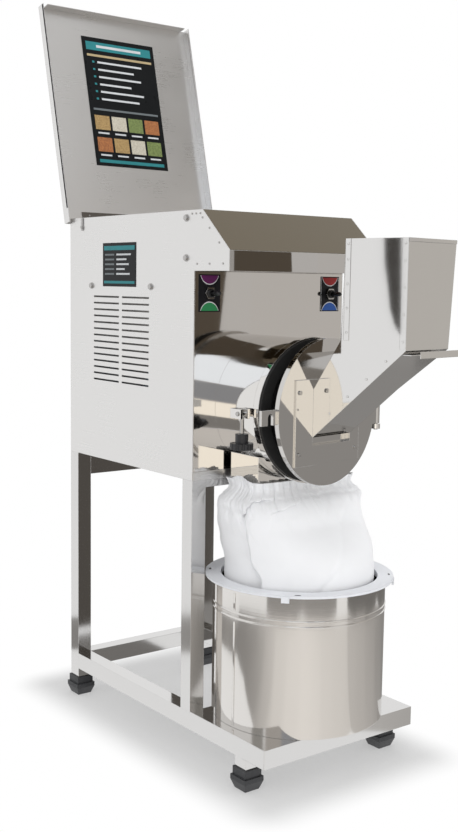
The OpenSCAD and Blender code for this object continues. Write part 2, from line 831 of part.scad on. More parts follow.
module door_bracket() {
    lug_z = door_knuckle_h / 2 + 1;
    color("silver") on_axis() difference() {
        for (s = [-1, 1]) translate([0, s > 0 ? lug_z : -lug_z - lug_t, 0]) rotate([-90, 0, 0])
            linear_extrude(lug_t) {
                translate([pin_x, -pin_f]) circle(r = knuckle_out + 1.5);
                translate([pin_x - 9, -pin_f]) square([18, pin_f - drum_l]);
                translate([flange_r - 26, -flange_f]) square([pin_x + 9 - flange_r + 26, flange_t]);
            }
        cylinder(r = flange_r + seat, h = flange_f + 20, $fn = 128);
        translate([pin_x, 0, pin_f]) rotate([90, 0, 0])
            cylinder(r = pin_r + seat, h = door_knuckle_h + 4 * lug_t, center = true);
    }
}

fork_in = 6;
fork_out = 10.5;

module pivot_pins() {
    color("silver") on_axis() {
        translate([pin_x, 0, pin_f]) rotate([90, 0, 0])
            cylinder(r = pin_r, h = door_knuckle_h + 2 * lug_t + 6, center = true);
        translate([clamp_x, 0, pivot_f]) rotate([0, 90, 0])
            cylinder(r = pin_r, h = 2 * fork_out + 4, center = true);
    }
}

module clamp_bracket() {
    color("silver") on_axis() difference() {
        union() {
            box([clamp_x - fork_out, -9, pivot_f - 22], [12 - drum_r, 9, pivot_f - 12]);
            for (x = [clamp_x - fork_out, clamp_x + fork_in])
                translate([x, -9, pivot_f - 20]) cube([fork_out - fork_in, 18, 29]);
        }
        cylinder(r = drum_r + seat, h = drum_l, $fn = 128);
        translate([clamp_x, 0, pivot_f]) rotate([0, 90, 0])
            cylinder(r = pin_r + seat, h = 4 * fork_out, center = true);
    }
}

module clamp_bolt() {
    eye_r = pin_r + 4;
    color("silver") on_axis() translate([clamp_x, 0, pivot_f]) difference() {
        union() {
            rotate([0, 90, 0]) cylinder(r = eye_r, h = 2 * fork_in - 2 * free_gap, center = true);
            rotate([90, 0, 0]) cylinder(r = stud_r, h = knob_from + knob_l - 6);
        }
        rotate([0, 90, 0]) cylinder(r = pin_r + run_fit, h = 4 * fork_out, center = true);
    }
}

module clamp_knob() {
    flutes = 12;
    color([0.08, 0.08, 0.09]) on_axis() translate([clamp_x, 0, pivot_f]) rotate([90, 0, 0])
        translate([0, 0, knob_from]) difference() {
            union() {
                cylinder(r = 12, h = knob_l);
                translate([0, 0, knob_l - knob_head]) cylinder(r = knob_r, h = knob_head);
            }
            for (k = [0:flutes - 1]) rotate(k * 360 / flutes)
                translate([knob_r + 1, 0, knob_l - knob_head - 1])
                    cylinder(r = 3, h = knob_head + 2, $fn = 24);
            translate([0, 0, -1]) cylinder(r = stud_r + run_fit, h = knob_l - 4);
        }
}

// Door and what it carries

module window_cut(low, from, depth) {
    translate([-hopper_left, low, from])
        cube([hopper_left + hopper_right, mouth_high - low, depth]);
}

module mill_door() {
    ear_h = 28;
    slot_w = 2 * stud_r + 6;
    color("silver") on_door() difference() {
        union() {
            translate([0, 0, door_f]) linear_extrude(door_t) {
                circle(r = door_r, $fn = 128);
                translate([door_r - 30, -door_knuckle_h / 2]) square([ear_reach + 30, door_knuckle_h]);
            }
            translate([clamp_x - ear_end, -ear_h / 2, door_f]) cube([ear_l, ear_h, ear_t]);
            translate([pin_x, 0, pin_f]) rotate([90, 0, 0])
                cylinder(r = knuckle_out, h = door_knuckle_h, center = true);
        }
        translate([clamp_x, 0, door_f - 1]) {
            cylinder(d = slot_w, h = ear_t + 2);
            translate([-slot_w / 2, -ear_h, 0]) cube([slot_w, ear_h, ear_t + 2]);
        }
        window_cut(mouth_low, door_f - 1, door_t + 2);
        window_cut(window_low, door_f + pocket_wall, door_t);
        translate([pin_x, 0, pin_f]) rotate([90, 0, 0])
            cylinder(r = pin_r + run_fit, h = door_knuckle_h + 2, center = true);
    }
}

// The feed plate reaches further to the clamp side than to the hinge side
plate_x = [-hopper_left - 47, hopper_right + 27];
plate_y = [mouth_low - 52, mouth_high + 18];

module feed_plate() {
    color("silver") on_door() difference() {
        translate([plate_x[0], plate_y[0], face_f])
            cube([plate_x[1] - plate_x[0], plate_y[1] - plate_y[0], plate_t]);
        window_cut(window_low, face_f - 1, plate_t + 2);
    }
}

// The hopper's volume is its side view drawn across and cut to its front view
module hopper_volume(side, face) {
    intersection() {
        translate([hopper_right + flare_top + 20, 0, face_f]) rotate([0, -90, 0])
            linear_extrude(hopper_left + hopper_right + flare_top + 40) polygon(side);
        translate([0, 0, face_f - 30]) linear_extrude(hopper_front + 60) polygon(face);
    }
}

module hopper() {
    ext = 2 * hopper_wall + 2;
    color("gainsboro") on_door() difference() {
        hopper_volume(hopper_side(0), hopper_face(0));
        hopper_volume(inset(hopper_side(ext), hopper_wall), inset(hopper_face(ext), hopper_wall));
        translate([-hopper_left + hopper_wall, gate_z - 0.4, face_f + hopper_front - 26])
            cube([hopper_left + hopper_right + flare_elbow - 6, gate_t + 0.8, 40]);
    }
}

// Seam strips and rivet heads on the hopper's left side
module hopper_trim() {
    strip = 0.8;
    rows = [0.08, 0.32, 0.56, 0.8, 0.95];
    tall = hopper_top - rear_z;
    slope = [for (k = [0.2, 0.4, 0.6, 0.8]) [k * hopper_front, mouth_low + k * (elbow_z - mouth_low) + 14]];
    heads = concat([for (k = rows) [hopper_rear + 7, rear_z + k * tall]],
        [for (k = rows) [hopper_front - 6, elbow_z + k * (hopper_top - elbow_z)]], slope);
    color("silver") on_door() {
        translate([-hopper_left - strip, rear_z, face_f + hopper_rear]) cube([strip, tall, 12]);
        translate([-hopper_left - strip, elbow_z + 2, face_f + hopper_front - 13])
            cube([strip, hopper_top - elbow_z - 2, 13]);
        for (p = heads) translate([-hopper_left, p[1], face_f + p[0]]) rotate([0, -90, 0])
            cylinder(r = rivet_r, h = 1.6);
    }
}

module feed_gate() {
    right = hopper_right + flare_elbow;
    color("lightgray") on_door() {
        translate([1.5 - hopper_left + hopper_wall, gate_z, face_f + hopper_rear - 10])
            cube([hopper_left + right - 10, gate_t, gate_front - hopper_rear + 10]);
        translate([-20, gate_z - gate_lip / 2, face_f + gate_front]) cube([right + 36, gate_lip, sheet]);
    }
}

module door_screws() {
    heads = [for (x = [plate_x[0] + 10, plate_x[1] - 10], y = [plate_y[0] + 23, plate_y[1] - 23]) [x, y]];
    color("silver") on_door() for (p = heads) translate([p[0], p[1], face_f + plate_t]) difference() {
        cylinder(r = 4, h = 2.4);
        translate([-0.6, -5, 1.4]) cube([1.2, 10, 2]);
    }
}

// Bag and bucket

function bag_ring(q, t) = let (steps = 11, r = max(q[3] - t, 0.5))
    [for (k = [0:3], i = [0:steps])
        let (a = 90 * k + 90 * i / steps, sx = k == 0 || k == 3 ? 1 : -1, sy = k < 2 ? 1 : -1)
        [sx * (q[1] - t - r) + r * cos(a), sy * (q[2] - t - r) + r * sin(a) - q[4], q[0]]];

module skin(rings) {
    m = len(rings[0]);
    n = len(rings);
    polyhedron(points = [for (r = rings) each r], faces = concat(
        [[for (j = [0:m - 1]) j]],
        [[for (j = [0:m - 1]) n * m - 1 - j]],
        [for (i = [0:n - 2], j = [0:m - 1]) [i * m + j, (i + 1) * m + j, (i + 1) * m + (j + 1) % m]],
        [for (i = [0:n - 2], j = [0:m - 1]) [i * m + j, (i + 1) * m + (j + 1) % m, i * m + (j + 1) % m]]));
}

// The lining lies above the bag's bottom and below its shoulder, and runs on out of the open mouth
module filter_bag() {
    last = len(bag_rings) - 1;
    function lift(i) = i < 3 ? cloth : i < 7 ? 0 : i < last ? -cloth : 3;
    lining = [for (i = [0:last]) bag_ring(bag_rings[i] + [lift(i), 0, 0, 0, 0], cloth)];
    color("white") place() difference() {
        skin([for (q = bag_rings) bag_ring(q, 0)]);
        skin(lining);
    }
}

bucket_z = plat_z + free_gap;
rim_r = 2.5;

module bucket() {
    color("lightgray") place() translate([0, -bucket_y, bucket_z]) rotate_extrude($fn = 128) {
        square([bucket_r, 1.5]);
        translate([bucket_r - bucket_wall, 0]) square([bucket_wall, bucket_h]);
        for (d = [46, 56]) translate([bucket_r - bucket_wall / 2, bucket_h - d]) circle(r = 2);
        translate([bucket_r - bucket_wall / 2, bucket_h]) circle(r = rim_r);
    }
}

module ring_lid() {
    seat_z = bucket_z + bucket_h + rim_r + free_gap;
    color("white") place() translate([0, -bucket_y, seat_z]) {
        rotate_extrude($fn = 128) {
            translate([ring_hole, 0]) square([ring_r - ring_hole, ring_lid_t]);
            translate([ring_hole, -8]) square([2.5, 8]);
            translate([ring_r - 2.5, -ring_lip]) square([2.5, ring_lip]);
        }
        for (k = [0:3]) rotate(41.5 + 90 * k)
            box([ring_r - 2.5, -7.5, -10], [ring_r + 1.5, 7.5, ring_lid_t - 1]);
    }
}

leg_front(-1);  // leg_front_left
leg_front(1);  // leg_front_right
leg_back(-1);  // leg_back_left
leg_back(1);  // leg_back_right
rail_side(-1);  // rail_left
rail_side(1);  // rail_right
cross_rails();
front_stubs();
platform();
feet();
side_panel(-1);  // left_panel
side_panel(1);  // right_panel
back_panel();
floor_panel();
front_panel();
hood_shell();
hood_bezel();
panel_fasteners();
side_card_left();
cable_gland();
lid();
lid_info_card();
hinge_leaf_lid();
hinge_leaf_back();
hinge_pin();
switch_plates();
switch_bodies();
switch_nuts();
switch_lever(-1);  // switch_lever_left
switch_lever(1);  // switch_lever_right
motor_case();
motor_ends();
motor_cradle();
stator();
armature();
drive_shaft();
cooling_fan();
fan_cowl();
bearings();
shaft_seal();
capacitor();
mill_housing();
outlet_chute();
door_seal();
sieve_ring();
beater_rotor();
door_bracket();
pivot_pins();
clamp_bracket();
clamp_bolt();
clamp_knob();
mill_door();
feed_plate();
hopper();
hopper_trim();
feed_gate();
door_screws();
filter_bag();
bucket();
ring_lid();
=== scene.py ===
"""Dresses the domestic flour mill: its finishes, cloth bag, printed plates, hems and rivets, and the studio."""

import json
import math

import bmesh
import bpy
from mathutils import Matrix, Vector, noise


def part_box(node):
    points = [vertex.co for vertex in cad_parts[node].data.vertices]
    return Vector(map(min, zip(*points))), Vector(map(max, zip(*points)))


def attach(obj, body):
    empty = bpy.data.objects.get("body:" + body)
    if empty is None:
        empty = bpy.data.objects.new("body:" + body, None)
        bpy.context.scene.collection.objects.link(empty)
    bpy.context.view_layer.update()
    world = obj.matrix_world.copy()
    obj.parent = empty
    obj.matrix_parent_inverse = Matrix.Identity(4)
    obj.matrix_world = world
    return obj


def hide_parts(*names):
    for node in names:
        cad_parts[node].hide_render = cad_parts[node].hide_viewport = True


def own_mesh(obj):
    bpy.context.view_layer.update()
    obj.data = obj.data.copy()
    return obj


bl_info = {
    "name": "Flour mill dresser",
    "version": (1, 0, 0),
    "blender": (4, 5, 0),
    "location": "3D View > Sidebar > Flour mill",
    "description": "Gives the flour mill its finishes, its cloth bag, its printed plates and its studio",
    "category": "Object",
}

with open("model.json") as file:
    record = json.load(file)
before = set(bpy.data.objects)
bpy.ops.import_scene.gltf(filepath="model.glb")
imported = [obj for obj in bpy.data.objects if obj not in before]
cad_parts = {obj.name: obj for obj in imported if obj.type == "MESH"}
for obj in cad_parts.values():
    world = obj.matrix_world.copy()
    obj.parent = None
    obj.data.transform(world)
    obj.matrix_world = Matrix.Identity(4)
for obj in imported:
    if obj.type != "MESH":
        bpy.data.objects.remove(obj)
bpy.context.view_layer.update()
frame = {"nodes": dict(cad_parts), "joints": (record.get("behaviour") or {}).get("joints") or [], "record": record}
NODES = frame["nodes"]
JOINTS = {j["name"]: j for j in frame["joints"]}


# Places taken from the solids


def middle(node):
    """The middle of a solid's box."""
    low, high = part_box(node)
    return (low + high) / 2


def turned_about(joint, degrees, axis):
    """The turn that takes a piece from its shut place to its place at rest."""
    pivot = Vector(JOINTS[joint]["pos_m"])
    turn = Matrix.Rotation(math.radians(degrees), 4, axis)
    return Matrix.Translation(pivot) @ turn @ Matrix.Translation(-pivot)


# Degrees from shut to the place at rest
LID_OPEN = 103.7
DOOR_AJAR = 7.8
LID_REST = turned_about("lid_hinge", -LID_OPEN, "X")
LID_SHUT = LID_REST.inverted()
DOOR_REST = turned_about("door_hinge", DOOR_AJAR, "Z")
DOOR_SHUT = DOOR_REST.inverted()


def shut_box(node, back):
    """A solid's box with its body turned back to its shut place."""
    points = [back @ v.co for v in NODES[node].data.vertices]
    low = Vector([min(p[i] for p in points) for i in range(3)])
    high = Vector([max(p[i] for p in points) for i in range(3)])
    return low, high


# Settings


def tint_setting(name, about, default):
    return bpy.props.FloatVectorProperty(
        name=name, description=about, subtype="COLOR", size=3, min=0, max=1, default=default)


def length_setting(name, about, least, most, default):
    return bpy.props.FloatProperty(
        name=name, description=about, unit="LENGTH", min=least, max=most, default=default)


def angle_setting(name, about, degrees):
    return bpy.props.FloatProperty(name=name, description=about, subtype="ANGLE", default=math.radians(degrees))


class MillFinishes(bpy.types.PropertyGroup):
    satin: tint_setting("Satin steel", "Tint of the cabinet and stand", (0.725, 0.718, 0.71))
    mirror: tint_setting("Mirror steel", "Tint of the polished chamber and front panel", (0.72, 0.705, 0.685))
    # The bezel's dark bronze tint stands in for the dark room that it reflects: painted reflection
    bezel_painted_reflection_tint: tint_setting("Bezel", "Tint of the sloping bezel under the lid", (0.150, 0.125, 0.088))
    cloth: tint_setting("Cloth", "Colour of the filter bag", (0.86, 0.865, 0.88))
    card: tint_setting("Card", "Ground colour of the printed cards", (0.007, 0.008, 0.009))


class MillBag(bpy.types.PropertyGroup):
    around: bpy.props.IntProperty(
        name="Columns", description="Columns of cloth round the bag", min=64, max=640, default=440)
    gathers: bpy.props.IntProperty(
        name="Gathers", description="Small pleats round the elastic mouth", min=8, max=90, default=38)
    pleat: length_setting("Pleat depth", "Depth of a small pleat at the mouth", 0, 0.01, 0.0095)
    fold: length_setting("Fold depth", "Depth of the long hanging fold on the left", 0, 0.03, 0.012)
    skin: length_setting("Thickness", "Thickness of the cloth", 0.0004, 0.003, 0.0012)
    settle: length_setting("Settling", "How far a point of cloth may settle under its weight", 0, 0.02, 0.0035)


class MillStage(bpy.types.PropertyGroup):
    place: bpy.props.FloatVectorProperty(
        name="Camera place", description="Where the camera stands", subtype="XYZ", unit="LENGTH", size=3,
        default=(-1.4211, -1.8289, 0.9262))
    yaw: angle_setting("Yaw", "Camera's turn to the right of the front", 37.37)
    pitch: angle_setting("Pitch", "Camera's tilt down", 6.68)
    roll: angle_setting("Roll", "Camera's roll", 0.81)
    lens: bpy.props.FloatProperty(
        name="Lens", description="Focal length in millimetres on a 36 mm high sensor", min=10, max=200,
        default=49.08)
    sky: bpy.props.FloatProperty(
        name="Room light", description="Strength of the even room light", min=0, max=2, default=0.56)


# Finishes


def feed(slot, value):
    """Links a socket to an input, or sets the input to a constant."""
    if isinstance(value, bpy.types.NodeSocket):
        slot.id_data.links.new(value, slot)
    else:
        slot.default_value = value


def fill(node, **values):
    """Feeds a node's inputs by name, with a low line for each space in a name."""
    for name, value in values.items():
        feed(node.inputs[name.replace("_", " ")], value)


def maths(tree, operation, *values, vector=False):
    """A maths node over sockets or constants."""
    node = tree.nodes.new("ShaderNodeVectorMath" if vector else "ShaderNodeMath")
    node.operation = operation
    for slot, value in zip(node.inputs, values):
        feed(slot, value)
    return node.outputs["Vector" if vector and operation != "LENGTH" else "Value"]


def facing(tree, source, axis):
    """How far a surface faces along an axis, by the normal that a node gives."""
    parts = tree.nodes.new("ShaderNodeSeparateXYZ")
    fill(parts, Vector=tree.nodes.new(source).outputs["Normal"])
    return parts.outputs[axis]


def coordinates(tree, scale=(1, 1, 1)):
    """Object coordinates through a mapping."""
    mapping = tree.nodes.new("ShaderNodeMapping")
    fill(mapping, Vector=tree.nodes.new("ShaderNodeTexCoord").outputs["Object"], Scale=scale)
    return mapping.outputs["Vector"]


def mottle(tree, vector, scale, detail=3.0, rough=0.55):
    """A noise pattern's value."""
    pattern = tree.nodes.new("ShaderNodeTexNoise")
    fill(pattern, Vector=vector, Scale=scale, Detail=detail, Roughness=rough)
    return pattern.outputs["Fac"]


def spread(tree, value, low, high, start=0.3, stop=0.7, kind="LINEAR"):
    """A pattern's value stretched from low to high."""
    ranged = tree.nodes.new("ShaderNodeMapRange")
    ranged.interpolation_type = kind
    fill(ranged, Value=value, From_Min=start, From_Max=stop, To_Min=low, To_Max=high)
    return ranged.outputs["Result"]


def blend_tints(tree, value, first, second):
    """A colour between two, each a tint or a socket."""
    mix = tree.nodes.new("ShaderNodeMix")
    mix.data_type = "RGBA"
    first, second = [(*tint, 1) if isinstance(tint, tuple) else tint for tint in (first, second)]
    fill(mix, Factor=value, A=first, B=second)
    return mix.outputs["Result"]


def relief(tree, height, strength, depth, edge=0.0, under=None):
    """A bump, over another one or over softened edges where a radius is given."""
    bump = tree.nodes.new("ShaderNodeBump")
    fill(bump, Height=height, Strength=strength, Distance=depth)
    if edge:
        rounded = tree.nodes.new("ShaderNodeBevel")
        rounded.samples = 4
        fill(rounded, Radius=edge)
        under = rounded.outputs["Normal"]
    if under:
        fill(bump, Normal=under)
    return bump.outputs["Normal"]


def shade(tint, factor):
    """A tint made darker or lighter."""
    return tuple(min(1.0, c * factor) for c in tint)


def new_finish(name):
    """A fresh material with its node tree and its shader."""
    material = bpy.data.materials.new(name)
    material.use_nodes = True
    tree = material.node_tree
    return material, tree, tree.nodes["Principled BSDF"]


def sheet_steel(name, tint, rough, lines=(7, 7, 640), wave=0.0, edge=0.0012, worn=0.05, scratch=0.06):
    """Steel with a fine drawn grain, faint smudges and the slight waviness of rolled sheet."""
    material, tree, shader = new_finish(name)
    grain = mottle(tree, coordinates(tree, lines), 1.0, 2.0)
    smudge = mottle(tree, coordinates(tree), 9.0, 4.0, 0.6)
    drawn = spread(tree, grain, rough * (1 - worn) - scratch * rough, rough * (1 + worn))
    smudged = spread(tree, smudge, -0.08 * rough, 0.12 * rough)
    bump = relief(tree, grain, 0.04 if wave else 0.05, 0.0004, edge)
    if wave:
        swell = mottle(tree, coordinates(tree), 3.2, 1.0)
        bump = relief(tree, swell, wave, 0.01, under=bump)
    fill(shader, Metallic=1.0, Roughness=maths(tree, "ADD", drawn, smudged), Normal=bump,
         Base_Color=blend_tints(tree, smudge, shade(tint, 0.985), shade(tint, 1.015)))
    return material


def hopper_steel(tint):
    """Polished steel whose rear, towards the cabinet, is left dull."""
    material = sheet_steel("hopper steel", tint, 0.06, wave=0.012)
    tree = material.node_tree
    rough = tree.nodes["Principled BSDF"].inputs["Roughness"]
    dull = spread(tree, facing(tree, "ShaderNodeTexCoord", "Y"), 0.0, 0.2, 0.7, 0.9)
    feed(rough, maths(tree, "MAXIMUM", rough.links[0].from_socket, dull))
    return material


def hood_steel(tint, under):
    """Polished steel whose faces that point down are painted in the dark bezel tint as painted shade."""
    material = sheet_steel("hood steel with painted shade below", tint, 0.05, lines=(30, 30, 30), wave=0.012)
    tree = material.node_tree
    colour = tree.nodes["Principled BSDF"].inputs["Base Color"]
    # Faces turned down take the dark tint: painted shade under the hood, which the polished chamber reflects
    below = spread(tree, facing(tree, "ShaderNodeNewGeometry", "Z"), 1, 0, -0.8, -0.4)
    feed(colour, blend_tints(tree, below, colour.links[0].from_socket, under))
    return material


def moulded(name, tint, rough, pebble=900.0, depth=0.12, edge=0.0015, metal=0.0, spread_tint=0.12):
    """Plastic, rubber, paint or cast metal with a fine pebbled skin and uneven sheen."""
    material, tree, shader = new_finish(name)
    pebbles = mottle(tree, coordinates(tree), pebble, 2.0)
    cloud = mottle(tree, coordinates(tree), 24.0, 3.0)
    fill(shader, Metallic=metal, Roughness=spread(tree, cloud, rough * 0.85, rough * 1.15),
         Base_Color=blend_tints(tree, cloud, shade(tint, 1 - spread_tint), shade(tint, 1 + spread_tint)),
         Normal=relief(tree, pebbles, depth, 0.0006, edge))
    return material


def print_ink(name, tint, rough=0.32):
    """Printed film with a faint orange-peel gloss and light fading."""
    material, tree, shader = new_finish(name)
    cloud = mottle(tree, coordinates(tree), 38.0, 3.0)
    peel = mottle(tree, coordinates(tree), 700.0, 1.0)
    fill(shader, Base_Color=blend_tints(tree, cloud, shade(tint, 0.9), shade(tint, 1.08)),
         Roughness=spread(tree, cloud, rough * 0.85, rough * 1.2), Normal=relief(tree, peel, 0.06, 0.0003),
         Specular_IOR_Level=0.15)
    return material


def grain_tile(name, first, second, scale):
    """A tile of scattered kernels in two colours."""
    material, tree, shader = new_finish(name)
    cells = tree.nodes.new("ShaderNodeTexVoronoi")
    fill(cells, Vector=coordinates(tree), Scale=scale)
    kernels = spread(tree, cells.outputs["Distance"], 0, 1, 0.1, 0.6)
    fill(shader, Base_Color=blend_tints(tree, kernels, second, first), Roughness=0.35)
    return material


def woven_cloth(name, tint):
    """Plain woven cotton: crossed threads on the bag's own map, with soft unevenness."""
    material, tree, shader = new_finish(name)
    chart = tree.nodes.new("ShaderNodeUVMap")
    chart.uv_map = "cloth"
    threads = []
    for turn in (0.0, math.pi / 2):
        mapping = tree.nodes.new("ShaderNodeMapping")
        fill(mapping, Vector=chart.outputs["UV"], Rotation=(0, 0, turn))
        wave = tree.nodes.new("ShaderNodeTexWave")
        fill(wave, Vector=mapping.outputs["Vector"], Scale=150.0, Distortion=0.6)
        threads.append(wave.outputs["Fac"])
    cloud = mottle(tree, coordinates(tree), 18.0, 4.0)
    fill(shader, Base_Color=blend_tints(tree, cloud, shade(tint, 0.965), shade(tint, 1.03)),
         Roughness=spread(tree, cloud, 0.82, 0.95), Sheen_Weight=0.15, Sheen_Roughness=0.4,
         Normal=relief(tree, maths(tree, "MULTIPLY", *threads), 0.25, 0.0004))
    return material


# Modelling

FINISHES = {}


def piece_from(bm, name, body, slot, inks=None, smooth=True):
    """Makes a finished piece of a bmesh, in inks or in its slot's own finish, and sets it on its body."""
    mesh = bpy.data.meshes.new(name)
    bmesh.ops.recalc_face_normals(bm, faces=bm.faces)
    bm.to_mesh(mesh)
    bm.free()
    for material in inks or [FINISHES[slot]]:
        mesh.materials.append(material)
    for face in mesh.polygons:
        face.use_smooth = smooth
    piece = bpy.data.objects.new(name, mesh)
    bpy.context.scene.collection.objects.link(piece)
    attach(piece, body)
    return piece


def bar(bm, low, high, place=Matrix.Identity(4), rounding=0.0, ink=0):
    """Adds a bar between two corners, with rounded edges, moved by a matrix."""
    low, high = Vector(low), Vector(high)
    made = bmesh.ops.create_cube(bm, size=1.0)["verts"]
    size = high - low
    bmesh.ops.scale(bm, vec=size, verts=made)
    bmesh.ops.translate(bm, vec=(low + high) / 2, verts=made)
    if rounding:
        edges = {e for v in made for e in v.link_edges}
        cut = bmesh.ops.bevel(bm, geom=list(edges), offset=rounding, offset_type="OFFSET", segments=3,
                              profile=0.5, affect="EDGES", material=-1)
        made = list({v for f in cut["faces"] for v in f.verts} | {v for v in made if v.is_valid})
    faces = {f for v in made for f in v.link_faces}
    for f in faces:
        f.material_index = ink
    bmesh.ops.transform(bm, matrix=place, verts=list({v for f in faces for v in f.verts}))


def whole(made):
    """The corners with all of their edges and faces."""
    return made + list({e for v in made for e in v.link_edges}) + list({f for v in made for f in v.link_faces})


def dome(bm, place, radius, height):
    """Adds a low rivet head that rises along the matrix's Z."""
    made = bmesh.ops.create_uvsphere(bm, u_segments=18, v_segments=10, radius=radius)["verts"]
    bmesh.ops.bisect_plane(bm, geom=whole(made), plane_co=(0, 0, 0), plane_no=(0, 0, 1), clear_inner=True,
                           dist=1e-6)
    kept = list({v for k in made if k.is_valid for f in k.link_faces for v in f.verts})
    rim = [e for e in {e for v in kept for e in v.link_edges} if e.is_boundary]
    if rim:
        bmesh.ops.holes_fill(bm, edges=rim)
    bmesh.ops.scale(bm, vec=(1, 1, height / radius), verts=kept)
    bmesh.ops.transform(bm, matrix=place, verts=kept)


def disc(bm, place, half_w, half_h, thick, ink=0, clip=None):
    """Adds a flat oval plate, clipped below or above a level where one is given."""
    made = bmesh.ops.create_circle(bm, cap_ends=True, segments=48, radius=1.0)["verts"]
    bmesh.ops.scale(bm, vec=(half_w, half_h, 1), verts=made)
    if clip:
        level, side = clip
        bmesh.ops.bisect_plane(bm, geom=whole(made), plane_co=(0, level, 0), plane_no=(0, side, 0),
                               clear_outer=True, dist=1e-7)
    base = {f for v in made if v.is_valid for f in v.link_faces}
    grown = bmesh.ops.extrude_face_region(bm, geom=list(base))["geom"]
    lifted = [g for g in grown if isinstance(g, bmesh.types.BMVert)]
    bmesh.ops.translate(bm, vec=(0, 0, thick), verts=lifted)
    faces = {f for v in lifted for f in v.link_faces} | {f for f in base if f.is_valid}
    for f in faces:
        f.material_index = ink
    bmesh.ops.transform(bm, matrix=place, verts=list({v for f in faces for v in f.verts}))


# The film's underside over the plate below it, and its upper side
PRINT_LIFT = 0.00003
PRINT_TOP = 0.00025


def strip(bm, face, half, corners, ink, lift=0.0):
    """Prints a strip between two corners, given as shares of the card's half width and half height."""
    x0, y0, x1, y1 = corners
    bar(bm, (x0 * half[0], y0 * half[1], PRINT_LIFT + lift), (x1 * half[0], y1 * half[1], PRINT_TOP + lift), face,
        ink=ink)


def axes(origin, across, upward):
    """A matrix whose X runs across, Y upward and Z out of the face."""
    x = Vector(across).normalized()
    y = Vector(upward).normalized()
    z = x.cross(y)
    turn = Matrix((x, y, z)).transposed().to_4x4()
    return Matrix.Translation(Vector(origin)) @ turn


class MILL_OT_finishes(bpy.types.Operator):
    """Gives every solid its finish"""

    bl_idname = "mill.finishes"
    bl_label = "Finishes"

    def execute(self, context):
        wish = context.scene.mill_finishes
        satin, mirror = tuple(wish.satin), tuple(wish.mirror)
        FINISHES.update({
            "satin_steel": sheet_steel("satin steel", satin, 0.30, wave=0.02),
            "tube_steel": sheet_steel("tube steel", shade(satin, 0.93), 0.12, lines=(260, 260, 5), wave=0.02),
            "mirror_steel": sheet_steel("mirror steel", mirror, 0.045, lines=(40, 40, 40), wave=0.035),
            "film_steel": sheet_steel("filmed steel", shade(mirror, 0.97), 0.065, lines=(30, 30, 30), wave=0.012),
            "door_steel": sheet_steel("door steel", shade(mirror, 0.84), 0.06, lines=(40, 40, 40), wave=0.02),
            # The hood's underside is painted dark in the bezel's tint: painted shade
            "hood_steel": hood_steel(shade(satin, 0.92), tuple(wish.bezel_painted_reflection_tint)),
            "hopper_steel": hopper_steel(shade(satin, 0.97)),
            # Its dark bronze tint is a painted reflection of a dark room
            "bronze_mirror": sheet_steel("bezel steel painted reflection", tuple(wish.bezel_painted_reflection_tint), 0.16, wave=0.02),
            # The fasteners' tint is darkened to stand in for the contact shade round the bolt heads: painted shade
            "bright_fastener": sheet_steel("plated fastener darkened as painted shade", (0.46, 0.45, 0.44), 0.16, lines=(90, 90, 90)),
            "dark_hinge": sheet_steel("dark hinge", (0.16, 0.145, 0.13), 0.42, worn=0.2),
            "foot_plastic": moulded("foot plastic", (0.022, 0.023, 0.026), 0.5),
            "black_plastic": moulded("black plastic", (0.016, 0.016, 0.018), 0.36),
            "printed_card": print_ink("card ground", tuple(wish.card), 0.3),
            "switch_card": print_ink("switch ground", (0.012, 0.012, 0.014), 0.28),
            "motor_paint": moulded("motor paint", (0.10, 0.14, 0.18), 0.45, 260.0, 0.2),
            "cast_iron": moulded("cast iron", (0.10, 0.10, 0.105), 0.6, 420.0, 0.35, metal=0.7),
            "lamination": sheet_steel("laminations", (0.40, 0.40, 0.41), 0.4, lines=(8, 1400, 8)),
            "winding": moulded("varnished winding", (0.34, 0.13, 0.05), 0.38, 700.0, 0.3, metal=0.6),
            "capacitor_can": sheet_steel("capacitor can", (0.68, 0.69, 0.71), 0.3, lines=(300, 6, 300)),
            "sieve_steel": sheet_steel("sieve steel", (0.55, 0.55, 0.56), 0.34, lines=(120, 120, 120)),
            "black_rubber": moulded("seal rubber", (0.011, 0.011, 0.011), 0.62, 1200.0, 0.2),
            "bag_cloth": woven_cloth("bag cotton", tuple(wish.cloth)),
            "bucket_steel": sheet_steel("pail steel", (0.72, 0.70, 0.675), 0.1, lines=(5, 5, 520), wave=0.035),
            "white_plastic": moulded("ring plastic", (0.78, 0.795, 0.83), 0.4, 500.0, 0.06, spread_tint=0.03),
        })
        special = {name: "tube_steel" for name in (
            "leg_front_left", "leg_front_right", "leg_back_left", "leg_back_right", "rail_left", "rail_right",
            "cross_rails", "front_stubs", "platform")}
        special.update(mill_door="door_steel", feed_plate="door_steel", front_panel="film_steel",
                       hood_shell="hood_steel")
        for part in frame["record"]["subparts"]:
            name = part["node"]
            slot = part["material_slot"]
            finish = FINISHES[special.get(name, slot)]
            mesh = NODES[name].data
            for i in range(len(mesh.materials)):
                mesh.materials[i] = finish
            if not mesh.materials:
                mesh.materials.append(finish)
        return {"FINISHED"}


# The pail's and the outlet's middles from front to back, and the bag's radius where it enters the pail
POOL = middle("bucket").y
SPOUT = middle("outlet_chute").y
FULL = 0.146
